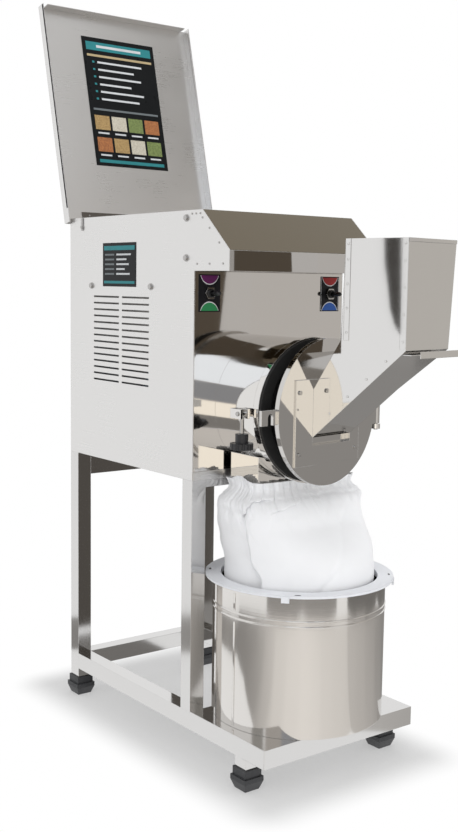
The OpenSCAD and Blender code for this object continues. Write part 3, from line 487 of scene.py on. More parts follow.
# The cloth is cut a little wider than the bag is round there
# The bag's rings from the mouth down: height, half width, half depth, squareness, distance front to back
BAG_RINGS = [
    (0.5550, 0.1160, 0.0520, 7.0, SPOUT),
    (0.5480, 0.1130, 0.0500, 7.0, SPOUT),
    (0.5400, 0.1115, 0.0490, 6.5, SPOUT - 0.001),
    (0.5330, 0.1180, 0.0520, 5.5, SPOUT - 0.003),
    (0.5240, 0.1340, 0.0610, 4.8, SPOUT - 0.006),
    (0.5120, 0.1450, 0.0710, 4.0, SPOUT - 0.010),
    (0.4940, 0.1490, 0.0830, 3.4, SPOUT - 0.014),
    (0.4720, 0.1500, 0.0970, 3.0, POOL + 0.027),
    (0.4500, 0.1490, 0.1180, 2.5, POOL + 0.018),
    (0.4320, 0.1490, 0.1330, 2.3, POOL + 0.012),
    (0.4120, 0.1475, 0.1430, 2.05, POOL + 0.005),
    (0.3950, 0.1465, 0.1460, 2.0, POOL + 0.001),
    (0.3650, 0.1470, 0.1470, 2.0, POOL + 0.001),
    (0.3200, 0.1390, 0.1390, 2.0, POOL),
    (0.2850, 0.1290, 0.1290, 2.0, POOL),
    (0.2630, 0.1080, 0.1080, 2.0, POOL),
    (0.2500, 0.0700, 0.0700, 2.0, POOL),
    (0.2455, 0.0250, 0.0250, 2.0, POOL),
]


def eased(x):
    """A smooth step from nought to one."""
    x = max(0.0, min(1.0, x))
    return x * x * (3 - 2 * x)


def hump(x, centre, width):
    """A smooth rise and fall about a centre."""
    return math.exp(-((x - centre) / width) ** 2)


def ring_at(height):
    """The bag's section at a height, on a smooth line through its rings."""
    for i, (upper, lower) in enumerate(zip(BAG_RINGS, BAG_RINGS[1:])):
        if upper[0] >= height >= lower[0]:
            before = BAG_RINGS[max(0, i - 1)]
            after = BAG_RINGS[min(len(BAG_RINGS) - 1, i + 2)]
            run = upper[0] - lower[0]
            t = (upper[0] - height) / run
            t2, t3 = t * t, t * t * t
            row = []
            for k in range(1, 5):
                rise_in = (lower[k] - before[k]) / max(1e-6, before[0] - lower[0]) * run
                rise_out = (after[k] - upper[k]) / max(1e-6, upper[0] - after[0]) * run
                row.append((2 * t3 - 3 * t2 + 1) * upper[k] + (t3 - 2 * t2 + t) * rise_in
                           + (3 * t2 - 2 * t3) * lower[k] + (t3 - t2) * rise_out)
            return row
    return list(BAG_RINGS[-1][1:])


# The long fold as height and turn round the bag, and the swag and the tuck above it as turn and height
FOLD_LINE = [(0.300, 209), (0.380, 202), (0.417, 195), (0.450, 199), (0.477, 205), (0.505, 207), (0.560, 207)]
SWAG_LINE = [(196, 0.488), (207, 0.501), (214, 0.515), (221, 0.523), (234, 0.526)]
TUCK_LINE = [(230, 0.502), (240, 0.507), (252, 0.513), (266, 0.523)]
# The line, first and last turn and depth of the cloth that hangs over itself under the mouth
DRAPES = ((SWAG_LINE, 198, 240, 0.0085), (TUCK_LINE, 229, 268, 0.0065))
# The turn, width in degrees and depth of the folds at the back
BACK_FOLDS = ((20, 5, 0.004), (96, 6, 0.005), (62, 4, 0.004))
# Height where the gathers run out, the run over which they do, and height of the hem's seam
GATHER_END, GATHER_RUN = 0.499, 0.024
HEM = 0.524


def along(line, x):
    """The second value on a line of points at the first value x."""
    if x <= line[0][0]:
        return line[0][1]
    for (x0, y0), (x1, y1) in zip(line, line[1:]):
        if x <= x1:
            return y0 + (y1 - y0) * eased((x - x0) / (x1 - x0))
    return line[-1][1]


def cloth_point(wish, angle, height):
    """A point of the bag: its section, gathered at the mouth, with hanging folds below."""
    a, b, power, back = ring_at(height)
    c, s = math.cos(angle), math.sin(angle)
    flat = (abs(c) ** power + abs(s) ** power) ** (-1 / power)
    point = Vector((a * flat * c, b * flat * s, 0))
    outward = Vector((c / a, s / b, 0)).normalized()
    turn = math.degrees(angle) % 360
    # Gathers: round ridges between sharp valleys, strongest at the elastic
    uneven = noise.noise(Vector((3 * c, 3 * s, 2.0)))
    wave = wish.gathers * angle / 2 + 1.9 * uneven + 0.5 * noise.noise(Vector((6 * c, 6 * s, height * 14)))
    ridges = abs(math.sin(wave)) ** 0.6 - 0.66 + 0.30 * (abs(math.sin(2.3 * wave + 3 * uneven)) - 0.6)
    ridges *= 0.8 + 0.7 * noise.noise(Vector((7 * c, 7 * s, 5.0)))
    reach = GATHER_END - 0.014 * noise.noise(Vector((11 * c, 11 * s, 1.0)))
    push = wish.pleat * ridges * eased((height - reach) / GATHER_RUN)
    hem = HEM + 0.0025 * noise.noise(Vector((4 * c, 4 * s, 8.0)))
    push -= 0.0026 * hump(height, hem, 0.0026)
    loose = noise.noise(Vector((1.6 * c, 1.6 * s, height * 4.0)))
    push += 0.003 * loose * eased((0.530 - height) / 0.05) * eased((height - 0.40) / 0.03)
    wrinkle = max(0.0, 1 - 7 * abs(noise.noise(Vector((5 * c, 5 * s, height * 16)))))
    push -= 0.0014 * wrinkle * eased((height - 0.44) / 0.05)
    # The long fold: the front stands proud of the left side
    off = turn - along(FOLD_LINE, height)
    deep = eased((0.512 - height) / 0.02) * eased((height - 0.28) / 0.07)
    step = eased((off + 1.0) / 2.0)
    proud = step * math.exp(-max(0.0, off) / 20)
    sunk = (1 - step) * math.exp(min(0.0, off) / 14)
    push += wish.fold * deep * (0.35 * proud - sunk)
    # The swag and the tuck under the mouth hang over the cloth below them
    for line, start, stop, size in DRAPES:
        lift = height - along(line, turn)
        across = eased((turn - start) / 9) * eased((stop - turn) / 11)
        over = eased((lift + 0.0009) / 0.0018)
        push += across * size * (0.55 * over * math.exp(-max(0.0, lift) / 0.011)
                                 - 0.8 * (1 - over) * math.exp(min(0.0, lift) / 0.016))
    # Smaller puffs on the left side, the upright crease on the right and folds at the back
    puffs = 0.005 * (hump(turn, 172, 11) + 0.8 * hump(turn, 200, 9))
    push += puffs * (hump(height, 0.524, 0.010) - hump(height, 0.500, 0.010))
    crease = 258 + (height - 0.40) / 0.13 * 54
    push -= 0.0022 * hump(turn, crease, 3.0) * eased((0.53 - height) / 0.04) * eased((height - 0.30) / 0.05)
    push -= sum(depth * hump(turn, at, width) for at, width, depth in BACK_FOLDS) * deep
    point += outward * push
    # The mouth rides up at the chute's left end and is slack at its front right corner
    rise = 0.010 * hump(turn, 184, 22) + 0.004 * hump(min(turn, 360 - turn), 0, 24)
    rise *= eased((height - 0.525) / 0.024)
    slack = hump(turn, 325, 24) * eased((height - 0.49) / 0.05)
    point += Vector((0.013, -0.012, 0)) * slack
    ruffle = 0.0022 * ridges * hump(height, 0.5555, 0.006)
    return Vector((point.x, point.y + back, height + rise + ruffle))


# Rows of cloth from the mouth down, fine where it is gathered, coarse below, and the last two at the closed end
MOUTH = 0.5545
FINE_ROWS, FINE_STEP = 46, 0.0016
COARSE_STEP, COARSE_END = 0.0042, 0.2510
END_ROWS = [0.2475, 0.2460]
# Cloth above this height is held on the outlet while the rest settles
HELD_FROM = 0.537
# The gathers give way less than the cloth below them: height where that starts, its run and the least share
GIVE_TOP, GIVE_RUN, GIVE_LEAST = 0.535, 0.085, 0.15
SETTLE_FRAMES = 14
COTTON = {"quality": 6, "mass": 0.22, "tension_stiffness": 25, "compression_stiffness": 12, "shear_stiffness": 6,
          "bending_stiffness": 0.6, "use_pressure": True, "uniform_pressure_force": 0.25}


def bag_levels():
    """Heights of the rows of cloth."""
    levels = [MOUTH - FINE_STEP * i for i in range(FINE_ROWS)]
    while levels[-1] > COARSE_END:
        levels.append(levels[-1] - COARSE_STEP)
    return levels + END_ROWS


def sew(bm, wish, levels):
    """Extrudes the bag row by row from its mouth, closes its end and returns the rows."""
    ring = bmesh.ops.create_circle(bm, cap_ends=False, segments=wish.around, radius=0.1)["verts"]
    ring.sort(key=lambda v: math.atan2(v.co.y, v.co.x) % math.tau)
    angles = [math.atan2(v.co.y, v.co.x) for v in ring]
    rows = [ring]
    edges = list(bm.edges)
    for _ in levels[1:]:
        made = bmesh.ops.extrude_edge_only(bm, edges=edges)["geom"]
        fresh = {g for g in made if isinstance(g, bmesh.types.BMVert)}
        edges = [g for g in made if isinstance(g, bmesh.types.BMEdge) and fresh.issuperset(g.verts)]
        level = set(edges)
        below = {e.other_vert(v): v for v in fresh for e in v.link_edges if e not in level}
        rows.append([below[v] for v in rows[-1]])
    for row, height in zip(rows, levels):
        for v, angle in zip(row, angles):
            v.co = cloth_point(wish, angle, height)
    bmesh.ops.poke(bm, faces=[bm.faces.new(rows[-1])])
    bmesh.ops.recalc_face_normals(bm, faces=bm.faces)
    return rows


def chart_cloth(bm, rows):
    """Lays the rows out flat on the cloth's own map, with the seam at the first column."""
    chart = bm.loops.layers.uv.new("cloth")
    place = {v: (k / len(row), r) for r, row in enumerate(rows) for k, v in enumerate(row)}
    run = [0.0]
    for upper, lower in zip(rows, rows[1:]):
        run.append(run[-1] + (lower[0].co - upper[0].co).length)
    for face in bm.faces:
        seam = any(place.get(l.vert, (0, 0))[0] > 0.75 for l in face.loops)
        for l in face.loops:
            u, r = place.get(l.vert, (0.5, len(rows) - 1))
            if seam and u < 0.25:
                u += 1
            l[chart].uv = (u * math.tau * FULL, run[r])


def settle(piece, held, limit):
    """Lets the cloth settle under its weight, with its mouth held, and keeps the result."""
    group = piece.vertex_groups.new(name="held")
    group.add(held, 1.0, "REPLACE")
    rest = [v.co.copy() for v in piece.data.vertices]
    cloth = piece.modifiers.new("Cloth", "CLOTH")
    for name, value in COTTON.items():
        setattr(cloth.settings, name, value)
    cloth.settings.vertex_group_mass = group.name
    cloth.collision_settings.use_collision = False
    cloth.point_cache.frame_start = 1
    cloth.point_cache.frame_end = SETTLE_FRAMES
    scene = bpy.context.scene
    for step in range(1, SETTLE_FRAMES + 1):
        scene.frame_set(step)
    shaped = piece.evaluated_get(bpy.context.evaluated_depsgraph_get())
    moved = [v.co.copy() for v in shaped.data.vertices]
    piece.modifiers.remove(cloth)
    piece.vertex_groups.remove(group)
    scene.frame_set(1)
    for v, start, end in zip(piece.data.vertices, rest, moved):
        step = end - start
        if step.length > limit:
            step *= limit / step.length
        v.co = start + step * (GIVE_LEAST + (1 - GIVE_LEAST) * eased((GIVE_TOP - start.z) / GIVE_RUN))


class MILL_OT_bag(bpy.types.Operator):
    """Sews the filter bag: gathered at the outlet, folded, and hanging into the pail"""

    bl_idname = "mill.bag"
    bl_label = "Filter bag"

    def execute(self, context):
        wish = context.scene.mill_bag
        bm = bmesh.new()
        levels = bag_levels()
        rows = sew(bm, wish, levels)
        chart_cloth(bm, rows)
        bm.verts.index_update()
        held = [v.index for row, height in zip(rows, levels) if height > HELD_FROM for v in row]
        bag = piece_from(bm, "cloth_bag", "mill", "bag_cloth")
        settle(bag, held, wish.settle)
        skin = bag.modifiers.new("Cloth thickness", "SOLIDIFY")
        skin.thickness = wish.skin
        skin.offset = -1
        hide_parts("filter_bag")
        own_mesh(bag)
        return {"FINISHED"}


class MILL_OT_lid_card(bpy.types.Operator):
    """Prints the card inside the lid with plain bands, bars and grain tiles"""

    bl_idname = "mill.lid_card"
    bl_label = "Lid card"

    def execute(self, context):
        low, high = shut_box("lid_info_card", LID_SHUT)
        half = ((high.x - low.x) / 2, (high.y - low.y) / 2)
        face = LID_REST @ axes(((low.x + high.x) / 2, (low.y + high.y) / 2, low.z), (1, 0, 0), (0, -1, 0))
        teal, white, grey, sand, tiles = range(5)
        inks = [print_ink("card teal", (0.035, 0.23, 0.25)), print_ink("card white", (0.62, 0.64, 0.66)),
                print_ink("card grey", (0.16, 0.18, 0.19)), print_ink("card sand", (0.48, 0.38, 0.22)),
                grain_tile("wheat tile", (0.45, 0.30, 0.12), (0.20, 0.11, 0.04), 420),
                grain_tile("lentil tile", (0.42, 0.16, 0.05), (0.17, 0.05, 0.02), 360),
                grain_tile("green tile", (0.20, 0.26, 0.08), (0.07, 0.10, 0.03), 380),
                grain_tile("rice tile", (0.62, 0.58, 0.48), (0.36, 0.32, 0.24), 460)]
        bm = bmesh.new()
        strip(bm, face, half, (-0.9, 0.80, 0.9, 0.93), teal)
        strip(bm, face, half, (-0.62, 0.845, 0.62, 0.885), white, PRINT_TOP)
        strip(bm, face, half, (-0.9, 0.70, 0.9, 0.735), sand)
        for i, span in enumerate((0.82, 0.66, 0.78, 0.58, 0.8, 0.7)):
            y = 0.60 - 0.115 * i
            strip(bm, face, half, (-0.78, y, -0.72, y + 0.03), teal)
            strip(bm, face, half, (-0.64, y, -0.64 + 1.5 * span, y + 0.03), white)
        strip(bm, face, half, (-0.9, -0.14, 0.9, -0.11), grey)
        for k in range(8):
            column, line = k % 4, k // 4
            x0 = -0.9 + 0.46 * column
            y1 = -0.22 - 0.34 * line
            strip(bm, face, half, (x0, y1 - 0.22, x0 + 0.40, y1), tiles + (k * 3 + line) % 4)
            strip(bm, face, half, (x0 + 0.05, y1 - 0.285, x0 + 0.35, y1 - 0.26), white)
        strip(bm, face, half, (-0.9, -0.95, 0.9, -0.90), teal)
        piece_from(bm, "lid_card_print", "lid", "printed_card", inks, smooth=False)
        return {"FINISHED"}


class MILL_OT_side_card(bpy.types.Operator):
    """Prints the small card on the left panel with plain bars"""

    bl_idname = "mill.side_card"
    bl_label = "Side card"

    def execute(self, context):
        low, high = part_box("side_card_left")
        half = ((high.y - low.y) / 2, (high.z - low.z) / 2)
        face = axes((low.x, (low.y + high.y) / 2, (low.z + high.z) / 2), (0, -1, 0), (0, 0, 1))
        teal, white, grey = range(3)
        inks = [print_ink("side card teal", (0.035, 0.23, 0.25)), print_ink("side card white", (0.62, 0.64, 0.66)),
                print_ink("side card grey", (0.17, 0.19, 0.20))]
        bm = bmesh.new()
        strip(bm, face, half, (-0.92, 0.66, 0.92, 0.86), teal)
        for i, span in enumerate((0.86, 0.6, 0.74, 0.5, 0.8)):
            y = 0.42 - 0.22 * i
            strip(bm, face, half, (-0.86, y, -0.30, y + 0.08), grey)
            strip(bm, face, half, (-0.16, y, -0.16 + span, y + 0.08), white)
        strip(bm, face, half, (-0.92, -0.86, 0.92, -0.74), teal)
        piece_from(bm, "side_card_print", "mill", "printed_card", inks, smooth=False)
        return {"FINISHED"}


class MILL_OT_switch_print(bpy.types.Operator):
    """Prints coloured arcs on the two switch plates"""

    bl_idname = "mill.switch_print"
    bl_label = "Switch plates"

    def execute(self, context):
        low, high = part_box("switch_plates")
        half_w, half_h = 0.025, (high.z - low.z) / 2
        plum, green, red, blue, white = range(5)
        inks = [print_ink("plate plum", (0.12, 0.018, 0.10)), print_ink("plate green", (0.03, 0.22, 0.08)),
                print_ink("plate red", (0.36, 0.03, 0.03)), print_ink("plate blue", (0.03, 0.10, 0.36)),
                print_ink("plate white", (0.66, 0.66, 0.67))]
        # Each arc is an oval whose middle is past the plate's end and which is cut off before it
        arc_w, arc_h, past_end, cut, film = 0.021, 0.0215, 0.004, 0.006, 0.00018
        bm = bmesh.new()
        for x, top, bottom in ((low.x + half_w, plum, green), (high.x - half_w, red, blue)):
            face = axes((x, low.y, (low.z + high.z) / 2), (1, 0, 0), (0, 0, 1))
            for ink, way in ((top, 1), (bottom, -1)):
                for grow, colour, lift in ((1.09, white, PRINT_LIFT), (1.0, ink, 0.00016)):
                    place = face @ Matrix.Translation((0, way * (half_h + past_end), lift))
                    disc(bm, place, arc_w * min(grow, 1.04), arc_h * grow, film, colour, (-cut * way, way))
        # The right plate, the last one, has a thin white line round its edge
        rim, line = half_h - 0.002, 0.0009
        inner, outer = half_w - 0.001 - line, half_w - 0.001
        for x0, y0, x1, y1 in ((-outer, -rim, -inner, rim), (inner, -rim, outer, rim),
                               (-inner, rim - line, inner, rim), (-inner, -rim, inner, -rim + line)):
            bar(bm, (x0, y0, PRINT_LIFT), (x1, y1, 0.0002), face, ink=white)
        piece_from(bm, "switch_plate_print", "mill", "switch_card", inks, smooth=False)
        return {"FINISHED"}


class MILL_OT_hems(bpy.types.Operator):
    """Rolls the hems along the lid's skirts and the front of the hopper's rim"""

    bl_idname = "mill.hems"
    bl_label = "Hems"

    def execute(self, context):
        low, high = shut_box("lid", LID_SHUT)
        bm = bmesh.new()
        thick, tall = 0.0016, 0.006
        front_gap, hinge_gap = 0.0008, 0.03
        for x in (low.x, high.x - thick):
            bar(bm, (x, low.y + front_gap, low.z), (x + thick, high.y - hinge_gap, low.z + tall), LID_REST, 0.0006)
        piece_from(bm, "lid_hems", "lid", "satin_steel")
        low, high = shut_box("hopper", DOOR_SHUT)
        bm = bmesh.new()
        thick, tall, below_rim = 0.0012, 0.007, 0.0002
        bar(bm, (low.x, low.y - thick, high.z - tall), (high.x, low.y, high.z - below_rim), DOOR_REST, 0.0005)
        piece_from(bm, "hopper_hem", "door", "hopper_steel")
        return {"FINISHED"}


class MILL_OT_rivets(bpy.types.Operator):
    """Sets rivets along the lid's hinge leaf"""

    bl_idname = "mill.rivets"
    bl_label = "Rivets"

    def execute(self, context):
        low, high = shut_box("hinge_leaf_lid", LID_SHUT)
        bm = bmesh.new()
        count, inset = 7, 0.018
        leaf_y, leaf_z = low.y + 0.008, high.z - 0.0015
        for k in range(count):
            x = low.x + inset + k * (high.x - low.x - 2 * inset) / (count - 1)
            place = LID_REST @ axes((x, leaf_y, leaf_z), (1, 0, 0), (0, -1, 0))
            dome(bm, place, radius=0.0026, height=0.0011)
        piece_from(bm, "hinge_rivets", "lid", "bright_fastener")
        return {"FINISHED"}


class MILL_OT_pail_details(bpy.types.Operator):
    """Adds the pail's side seam and the slots of its ring lid"""

    bl_idname = "mill.pail_details"
    bl_label = "Pail seam and ring slots"

    def execute(self, context):
        low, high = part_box("bucket")
        centre = middle("bucket")
        # The seam runs up the left side, with a gap where the bead goes round
        radius, half, seam_turn = 0.167, 0.0025, math.radians(184)
        bm = bmesh.new()
        turn = Matrix.Translation((centre.x, centre.y, 0)) @ Matrix.Rotation(seam_turn, 4, "Z")
        for start, stop in ((0.004, 0.204), (0.226, 0.258)):
            bar(bm, (radius - 0.0004, -half, low.z + start), (radius + 0.0007, half, low.z + stop), turn, 0.0003)
        piece_from(bm, "pail_seam", "bucket", "bucket_steel")
        low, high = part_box("ring_lid")
        bm = bmesh.new()
        top, first, reach = Vector((centre.x, centre.y, high.z)), 48.5, 0.1735
        for k in range(4):
            spin = Matrix.Translation(top) @ Matrix.Rotation(math.radians(first + 90 * k), 4, "Z")
            disc(bm, spin @ Matrix.Translation((reach, 0, 0.00002)), 0.0022, 0.006, 0.0002)
        piece_from(bm, "ring_slots", "ring", "black_plastic", smooth=False)
        return {"FINISHED"}


# Stage


def glossy_panel(bm, name, tint, glow=1.0):
    """Makes a panel that only polished metal sees."""
    mesh = bpy.data.meshes.new(name)
    bm.to_mesh(mesh)
    bm.free()
    material, tree, shader = new_finish(name)
    fill(shader, Base_Color=(0, 0, 0, 1), Specular_IOR_Level=0, Emission_Color=(*tint, 1), Emission_Strength=glow)
    mesh.materials.append(material)
    panel = bpy.data.objects.new(name, mesh)
    bpy.context.scene.collection.objects.link(panel)
    for rays in ("camera", "diffuse", "shadow", "transmission"):
        setattr(panel, "visible_" + rays, False)
    return material


def reflector(name, centre, aim, wide, tall, tint, glow=1.0):
    """A plain upright or lying panel for the metal's reflections."""
    bm = bmesh.new()
    made = bmesh.ops.create_grid(bm, x_segments=1, y_segments=1, size=0.5)["verts"]
    bmesh.ops.scale(bm, vec=(wide, tall, 1), verts=made)
    turn = (Vector(aim) - Vector(centre)).to_track_quat("Z", "Y").to_matrix().to_4x4()
    bmesh.ops.transform(bm, matrix=Matrix.Translation(Vector(centre)) @ turn, verts=made)
    glossy_panel(bm, name, tint, glow)


def floor_mat(name, centre, outer, stops):
    """A fan-shaped mat on the floor that only polished metal sees; each stop is azimuth, inner radius, level."""
    bm = bmesh.new()
    tone = bm.verts.layers.float_color.new("tone")
    last = None
    for azimuth, inner, level in stops:
        out = Vector((math.cos(math.radians(azimuth)), math.sin(math.radians(azimuth)), 0))
        pair = [bm.verts.new(centre + reach * out) for reach in (inner, outer)]
        for v in pair:
            v[tone] = (level, level * 0.965, level * 0.925, 1)
        if last:
            bm.faces.new((last[0], last[1], pair[1], pair[0]))
        last = pair
    material = glossy_panel(bm, name, (0, 0, 0))
    tree = material.node_tree
    tones = tree.nodes.new("ShaderNodeAttribute")
    tones.attribute_name = "tone"
    fill(tree.nodes["Principled BSDF"], Emission_Color=tones.outputs["Color"])


def curtain(name, outline, tint):
    """A shaped panel standing by the machine that only polished metal sees."""
    bm = bmesh.new()
    bm.faces.new([bm.verts.new(corner) for corner in outline])
    glossy_panel(bm, name, tint)


def seen_rays(tree):
    """One for camera, glossy and transmitted rays, nought for the rest."""
    path = tree.nodes.new("ShaderNodeLightPath")
    total = path.outputs["Is Camera Ray"]
    for ray in ("Is Glossy Ray", "Is Transmission Ray"):
        total = maths(tree, "MAXIMUM", total, path.outputs[ray])
    return total


# Azimuth in degrees, inner radius in metres and level along the mats that the pail reflects
LEFT_MAT = ((96, 0.92, 0.42), (112, 0.88, 0.30), (131, 0.84, 0.36), (150, 0.84, 0.30))
FRONT_MAT = ((150, 0.84, 0.30), (163, 0.70, 0.33), (178, 0.48, 0.42), (190, 0.36, 0.60), (203, 0.28, 0.82),
             (218, 0.28, 0.91), (235, 0.28, 0.96), (246, 0.28, 0.94), (258, 0.30, 0.87), (272, 0.36, 0.83),
             (292, 0.40, 0.77))
RIGHT_MAT = ((292, 0.40, 0.64), (306, 0.33, 0.60), (322, 0.33, 0.53), (345, 0.33, 0.41), (368, 0.40, 0.30),
             (404, 0.40, 0.30))
# Outline, y and z in metres, of the dark curtain that the hopper's side reflects
CURTAIN = ((-0.1445, 1.0388), (-0.1479, 0.9753), (-0.1581, 0.9205), (-0.1647, 0.8743), (-0.1775, 0.8385),
           (-0.1937, 0.8164), (-0.1916, 0.9035), (-0.1878, 1.0381))
# Outlines, x and z in metres, of the dark and pale hangings that the front panel and the hood's strip reflect
DARK_HANGING = ((-0.106, 0.80), (0.0195, 0.80), (0.038, 0.95), (0.0345, 1.0), (-0.106, 1.0))
PALE_HANGING = ((0.0195, 0.80), (0.105, 0.80), (0.105, 1.0), (0.0345, 1.0), (0.038, 0.95))
# The footprint of the stand on the floor: its middle, half its size, and how far its painted shadow reaches
FOOT_MIDDLE, FOOT_HALF, PAINTED_SHADOW_REACH = (0, 0.04, 0), (0.19, 0.38, 0), 0.11
# Name, place, size in metres and power of the softboxes, which all look at the same point
LAMP_AIM = (0, -0.1, 0.6)
LAMPS = (
    ("key softbox", (-2.8, -1.4, 2.8), 2.4, 38.0),
    ("low fill", (-0.4, -3.4, 0.7), 1.8, 21.0),
    ("top softbox", (0.3, 0.2, 4.2), 3.0, 46.0),
    ("right softbox", (2.6, -2.2, 1.6), 2.2, 24.0))
# Name, first and last azimuth, lowest and highest point and tint of the screens that stand round the pail
SCREEN_RADIUS = 2.6
SCREENS = (
    ("left screen", 171, 187, 0.0, 2.2, (0.45, 0.44, 0.42)),
    ("front screen", 190, 277, 0.0, 0.95, (0.84, 0.81, 0.77)),
    ("high front screen", 190, 277, 0.95, 2.8, (0.60, 0.57, 0.54)),
    ("front right screen", 277, 300, 0.0, 2.8, (0.66, 0.63, 0.60)),
    ("window screen", 300, 318, 0.0, 2.8, (0.60, 0.57, 0.54)),
    ("low right screen", 318, 345, 0.0, 0.60, (0.38, 0.365, 0.35)),
    ("high right screen", 318, 345, 0.60, 2.8, (0.60, 0.57, 0.53)),
    ("right screen", 345, 360, 0.0, 2.8, (0.40, 0.385, 0.37)))
# Height of the mats over the floor, the side where the curtain stands and the front where the hangings are
MAT_LIFT = 0.0015
CURTAIN_X = -0.53
HANGING_Y = -0.30
BROWN = (0.076, 0.060, 0.042)


def lay_floor(scene):
    """Lays a plain floor with a painted shadow under and round the stand, fading to the white of the background
    round it.
    """
    bm = bmesh.new()
    ground = bmesh.ops.create_grid(bm, x_segments=1, y_segments=1, size=14.0)["verts"]
    bmesh.ops.translate(bm, vec=(0, 0, -0.0004), verts=ground)
    mesh = bpy.data.meshes.new("studio_floor")
    bm.to_mesh(mesh)
    bm.free()
    material, tree, shader = new_finish("studio floor")
    spot = tree.nodes.new("ShaderNodeTexCoord").outputs["Object"]
    away = maths(tree, "ABSOLUTE", maths(tree, "SUBTRACT", spot, FOOT_MIDDLE, vector=True), vector=True)
    past = maths(tree, "MAXIMUM", maths(tree, "SUBTRACT", away, FOOT_HALF, vector=True), (0, 0, 0), vector=True)
    painted_shadow_fade = spread(tree, maths(tree, "LENGTH", past, vector=True), 0, 1, 0, PAINTED_SHADOW_REACH, "SMOOTHSTEP")
    seen = seen_rays(tree)
    white = maths(tree, "MAXIMUM", painted_shadow_fade, tree.nodes["Light Path"].outputs["Is Glossy Ray"])
    # Near the stand the floor that the camera sees is dark and barely glows: a painted shadow set by distance from
    # the footprint
    painted_shadow_tone = blend_tints(tree, white, (0.35, 0.35, 0.35), (0, 0, 0))
    fill(shader, Base_Color=blend_tints(tree, seen, (0.84, 0.84, 0.84), painted_shadow_tone), Roughness=1.0,
         Specular_IOR_Level=0.0, Emission_Color=(1, 1, 1, 1),
         Emission_Strength=maths(tree, "MULTIPLY", seen, spread(tree, white, 0.38, 1.0, 0, 1)))
    mesh.materials.append(material)
    floor = bpy.data.objects.new("studio_floor", mesh)
    scene.collection.objects.link(floor)


def light_room(scene, sky):
    """Sets the even room light, white to the eye and to the metal, and the softboxes."""
    world = bpy.data.worlds.new("studio room")
    scene.world = world
    world.use_nodes = True
    tree = world.node_tree
    fill(tree.nodes["Background"], Color=(1, 1, 1, 1), Strength=spread(tree, seen_rays(tree), sky, 1.0, 0, 1))
    for name, place, size, power in LAMPS:
        lamp = bpy.data.lights.new(name, "AREA")
        lamp.shape = "SQUARE"
        lamp.size = size
        lamp.energy = power
        lit = bpy.data.objects.new(name, lamp)
        aim = Vector(LAMP_AIM) - Vector(place)
        lit.matrix_world = Matrix.Translation(place) @ aim.to_track_quat("-Z", "Y").to_matrix().to_4x4()
        lit.visible_camera = False
        lit.visible_glossy = False
        scene.collection.objects.link(lit)


def hang_reflectors():
    """Sets the panels, curtains and mats whose reflections shape the polished metal."""
    for name, start, stop, low, high, tint in SCREENS:
        turn, half = math.radians((start + stop) / 2), math.radians((stop - start) / 2)
        out = Vector((math.cos(turn), math.sin(turn), 0)) * SCREEN_RADIUS
        centre = Vector((0, POOL, (low + high) / 2))
        reflector(name, centre + out, centre, 2 * SCREEN_RADIUS * math.tan(half), high - low, tint)
    reflector("dark doorway", (0.99, -2.0, 0.74), (0.99, 0, 0.74), 0.42, 0.48, BROWN)
    reflector("dark canopy", (-0.2, -1.6, 2.75), (-0.2, -1.6, 0), 1.4, 2.2, BROWN)
    reflector("dark lamp", (1.97, -1.74, 2.7), (0.15, 0.4, 1.2), 0.9, 0.7, (0.28, 0.27, 0.26))
    reflector("lid shade", (2.75, -1.75, 3.4), (0, 0.45, 1.3), 2.3, 1.5, (0.30, 0.285, 0.265))
    reflector("leg shade", (0.14, 0.06, 0.30), (0.14, 1, 0.30), 0.52, 0.48, (0.10, 0.09, 0.08))
    curtain("dark curtain", [(CURTAIN_X, y, z) for y, z in CURTAIN], (0.06, 0.055, 0.05))
    curtain("dark hanging", [(x, HANGING_Y, z) for x, z in DARK_HANGING], (0.10, 0.08, 0.06))
    curtain("pale hanging", [(x, HANGING_Y, z) for x, z in PALE_HANGING], (0.60, 0.575, 0.55))
    reflector("cream wall", (-1.60, -2.10, 0.34), (0, POOL, 0.34), 0.80, 0.68, (1.0, 0.94, 0.84), 1.65)
    reflector("front window", (-1.32, -2.32, 2.2), (0, POOL, 2.2), 2.4, 1.3, (0.88, 0.93, 1.0), 1.68)
    reflector("far street", (-1.67, -2.06, 1.13), (0, POOL, 1.13), 1.5, 0.80, (0.43, 0.44, 0.47))
    spot = Vector((0, POOL, MAT_LIFT))
    floor_mat("left mat", spot, 1.16, LEFT_MAT)
    floor_mat("front mat", spot, 1.25, FRONT_MAT)
    floor_mat("far mat", spot, 2.6, ((190, 1.3, 0.34), (234, 1.3, 0.34), (277, 1.3, 0.34)))
    floor_mat("right mat", spot, 1.25, RIGHT_MAT)
    floor_mat("far right mat", spot, 2.6, ((292, 1.3, 0.2), (348, 1.3, 0.2), (404, 1.3, 0.2)))
    # A dark mat under the stand that only the metal sees: painted shade where the floor beneath the machine lies
    # in shadow
    reflector("painted shade mat", (0, 0.13, MAT_LIFT), (0, 0.13, 1), 0.30, 0.34, (0.22, 0.21, 0.20))


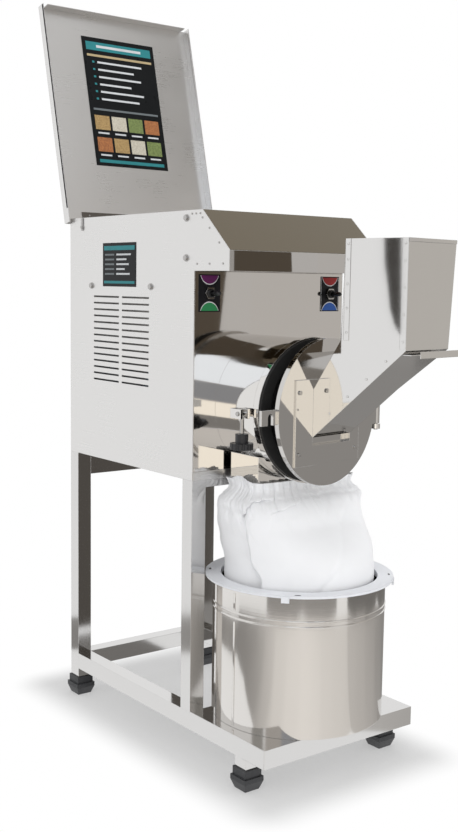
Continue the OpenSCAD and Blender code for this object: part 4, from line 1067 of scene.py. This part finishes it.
def place_camera(scene, wish):
    """Stands the camera where the photograph was taken from."""
    camera = bpy.data.cameras.new("photo camera")
    camera.sensor_fit = "VERTICAL"
    camera.sensor_height = 36.0
    camera.lens = wish.lens
    camera.clip_end = 60
    forward = Vector((math.sin(wish.yaw) * math.cos(wish.pitch), math.cos(wish.yaw) * math.cos(wish.pitch),
                      -math.sin(wish.pitch)))
    right = Vector((math.cos(wish.yaw), -math.sin(wish.yaw), 0))
    upward = right.cross(forward)
    x = math.cos(wish.roll) * right + math.sin(wish.roll) * upward
    y = math.cos(wish.roll) * upward - math.sin(wish.roll) * right
    turn = Matrix((x, y, -forward)).transposed().to_4x4()
    eye = bpy.data.objects.new("photo camera", camera)
    eye.matrix_world = Matrix.Translation(Vector(wish.place)) @ turn
    scene.collection.objects.link(eye)
    scene.camera = eye


class MILL_OT_stage(bpy.types.Operator):
    """Lays the pale floor, sets the room light and lamps, and places the camera"""

    bl_idname = "mill.stage"
    bl_label = "Stage"

    def execute(self, context):
        scene = context.scene
        wish = scene.mill_stage
        scene.view_settings.view_transform = "Standard"
        lay_floor(scene)
        light_room(scene, wish.sky)
        hang_reflectors()
        place_camera(scene, wish)
        return {"FINISHED"}


STEPS = (MILL_OT_finishes, MILL_OT_bag, MILL_OT_lid_card, MILL_OT_side_card, MILL_OT_switch_print, MILL_OT_hems,
         MILL_OT_rivets, MILL_OT_pail_details, MILL_OT_stage)


class MILL_PT_panel(bpy.types.Panel):
    bl_idname = "MILL_PT_panel"
    bl_label = "Flour mill"
    bl_space_type = "VIEW_3D"
    bl_region_type = "UI"
    bl_category = "Flour mill"

    def draw(self, context):
        for step in STEPS:
            self.layout.operator(step.bl_idname)


SETTINGS = {"mill_finishes": MillFinishes, "mill_bag": MillBag, "mill_stage": MillStage}


def register():
    for cls in (*SETTINGS.values(), *STEPS, MILL_PT_panel):
        bpy.utils.register_class(cls)
    for name, cls in SETTINGS.items():
        setattr(bpy.types.Scene, name, bpy.props.PointerProperty(type=cls))


def unregister():
    for name in SETTINGS:
        delattr(bpy.types.Scene, name)
    for cls in reversed((*SETTINGS.values(), *STEPS, MILL_PT_panel)):
        bpy.utils.unregister_class(cls)


def main():
    register()
    for step in STEPS:
        group, name = step.bl_idname.split(".")
        getattr(getattr(bpy.ops, group), name)()


if __name__ == "__main__":
    main()
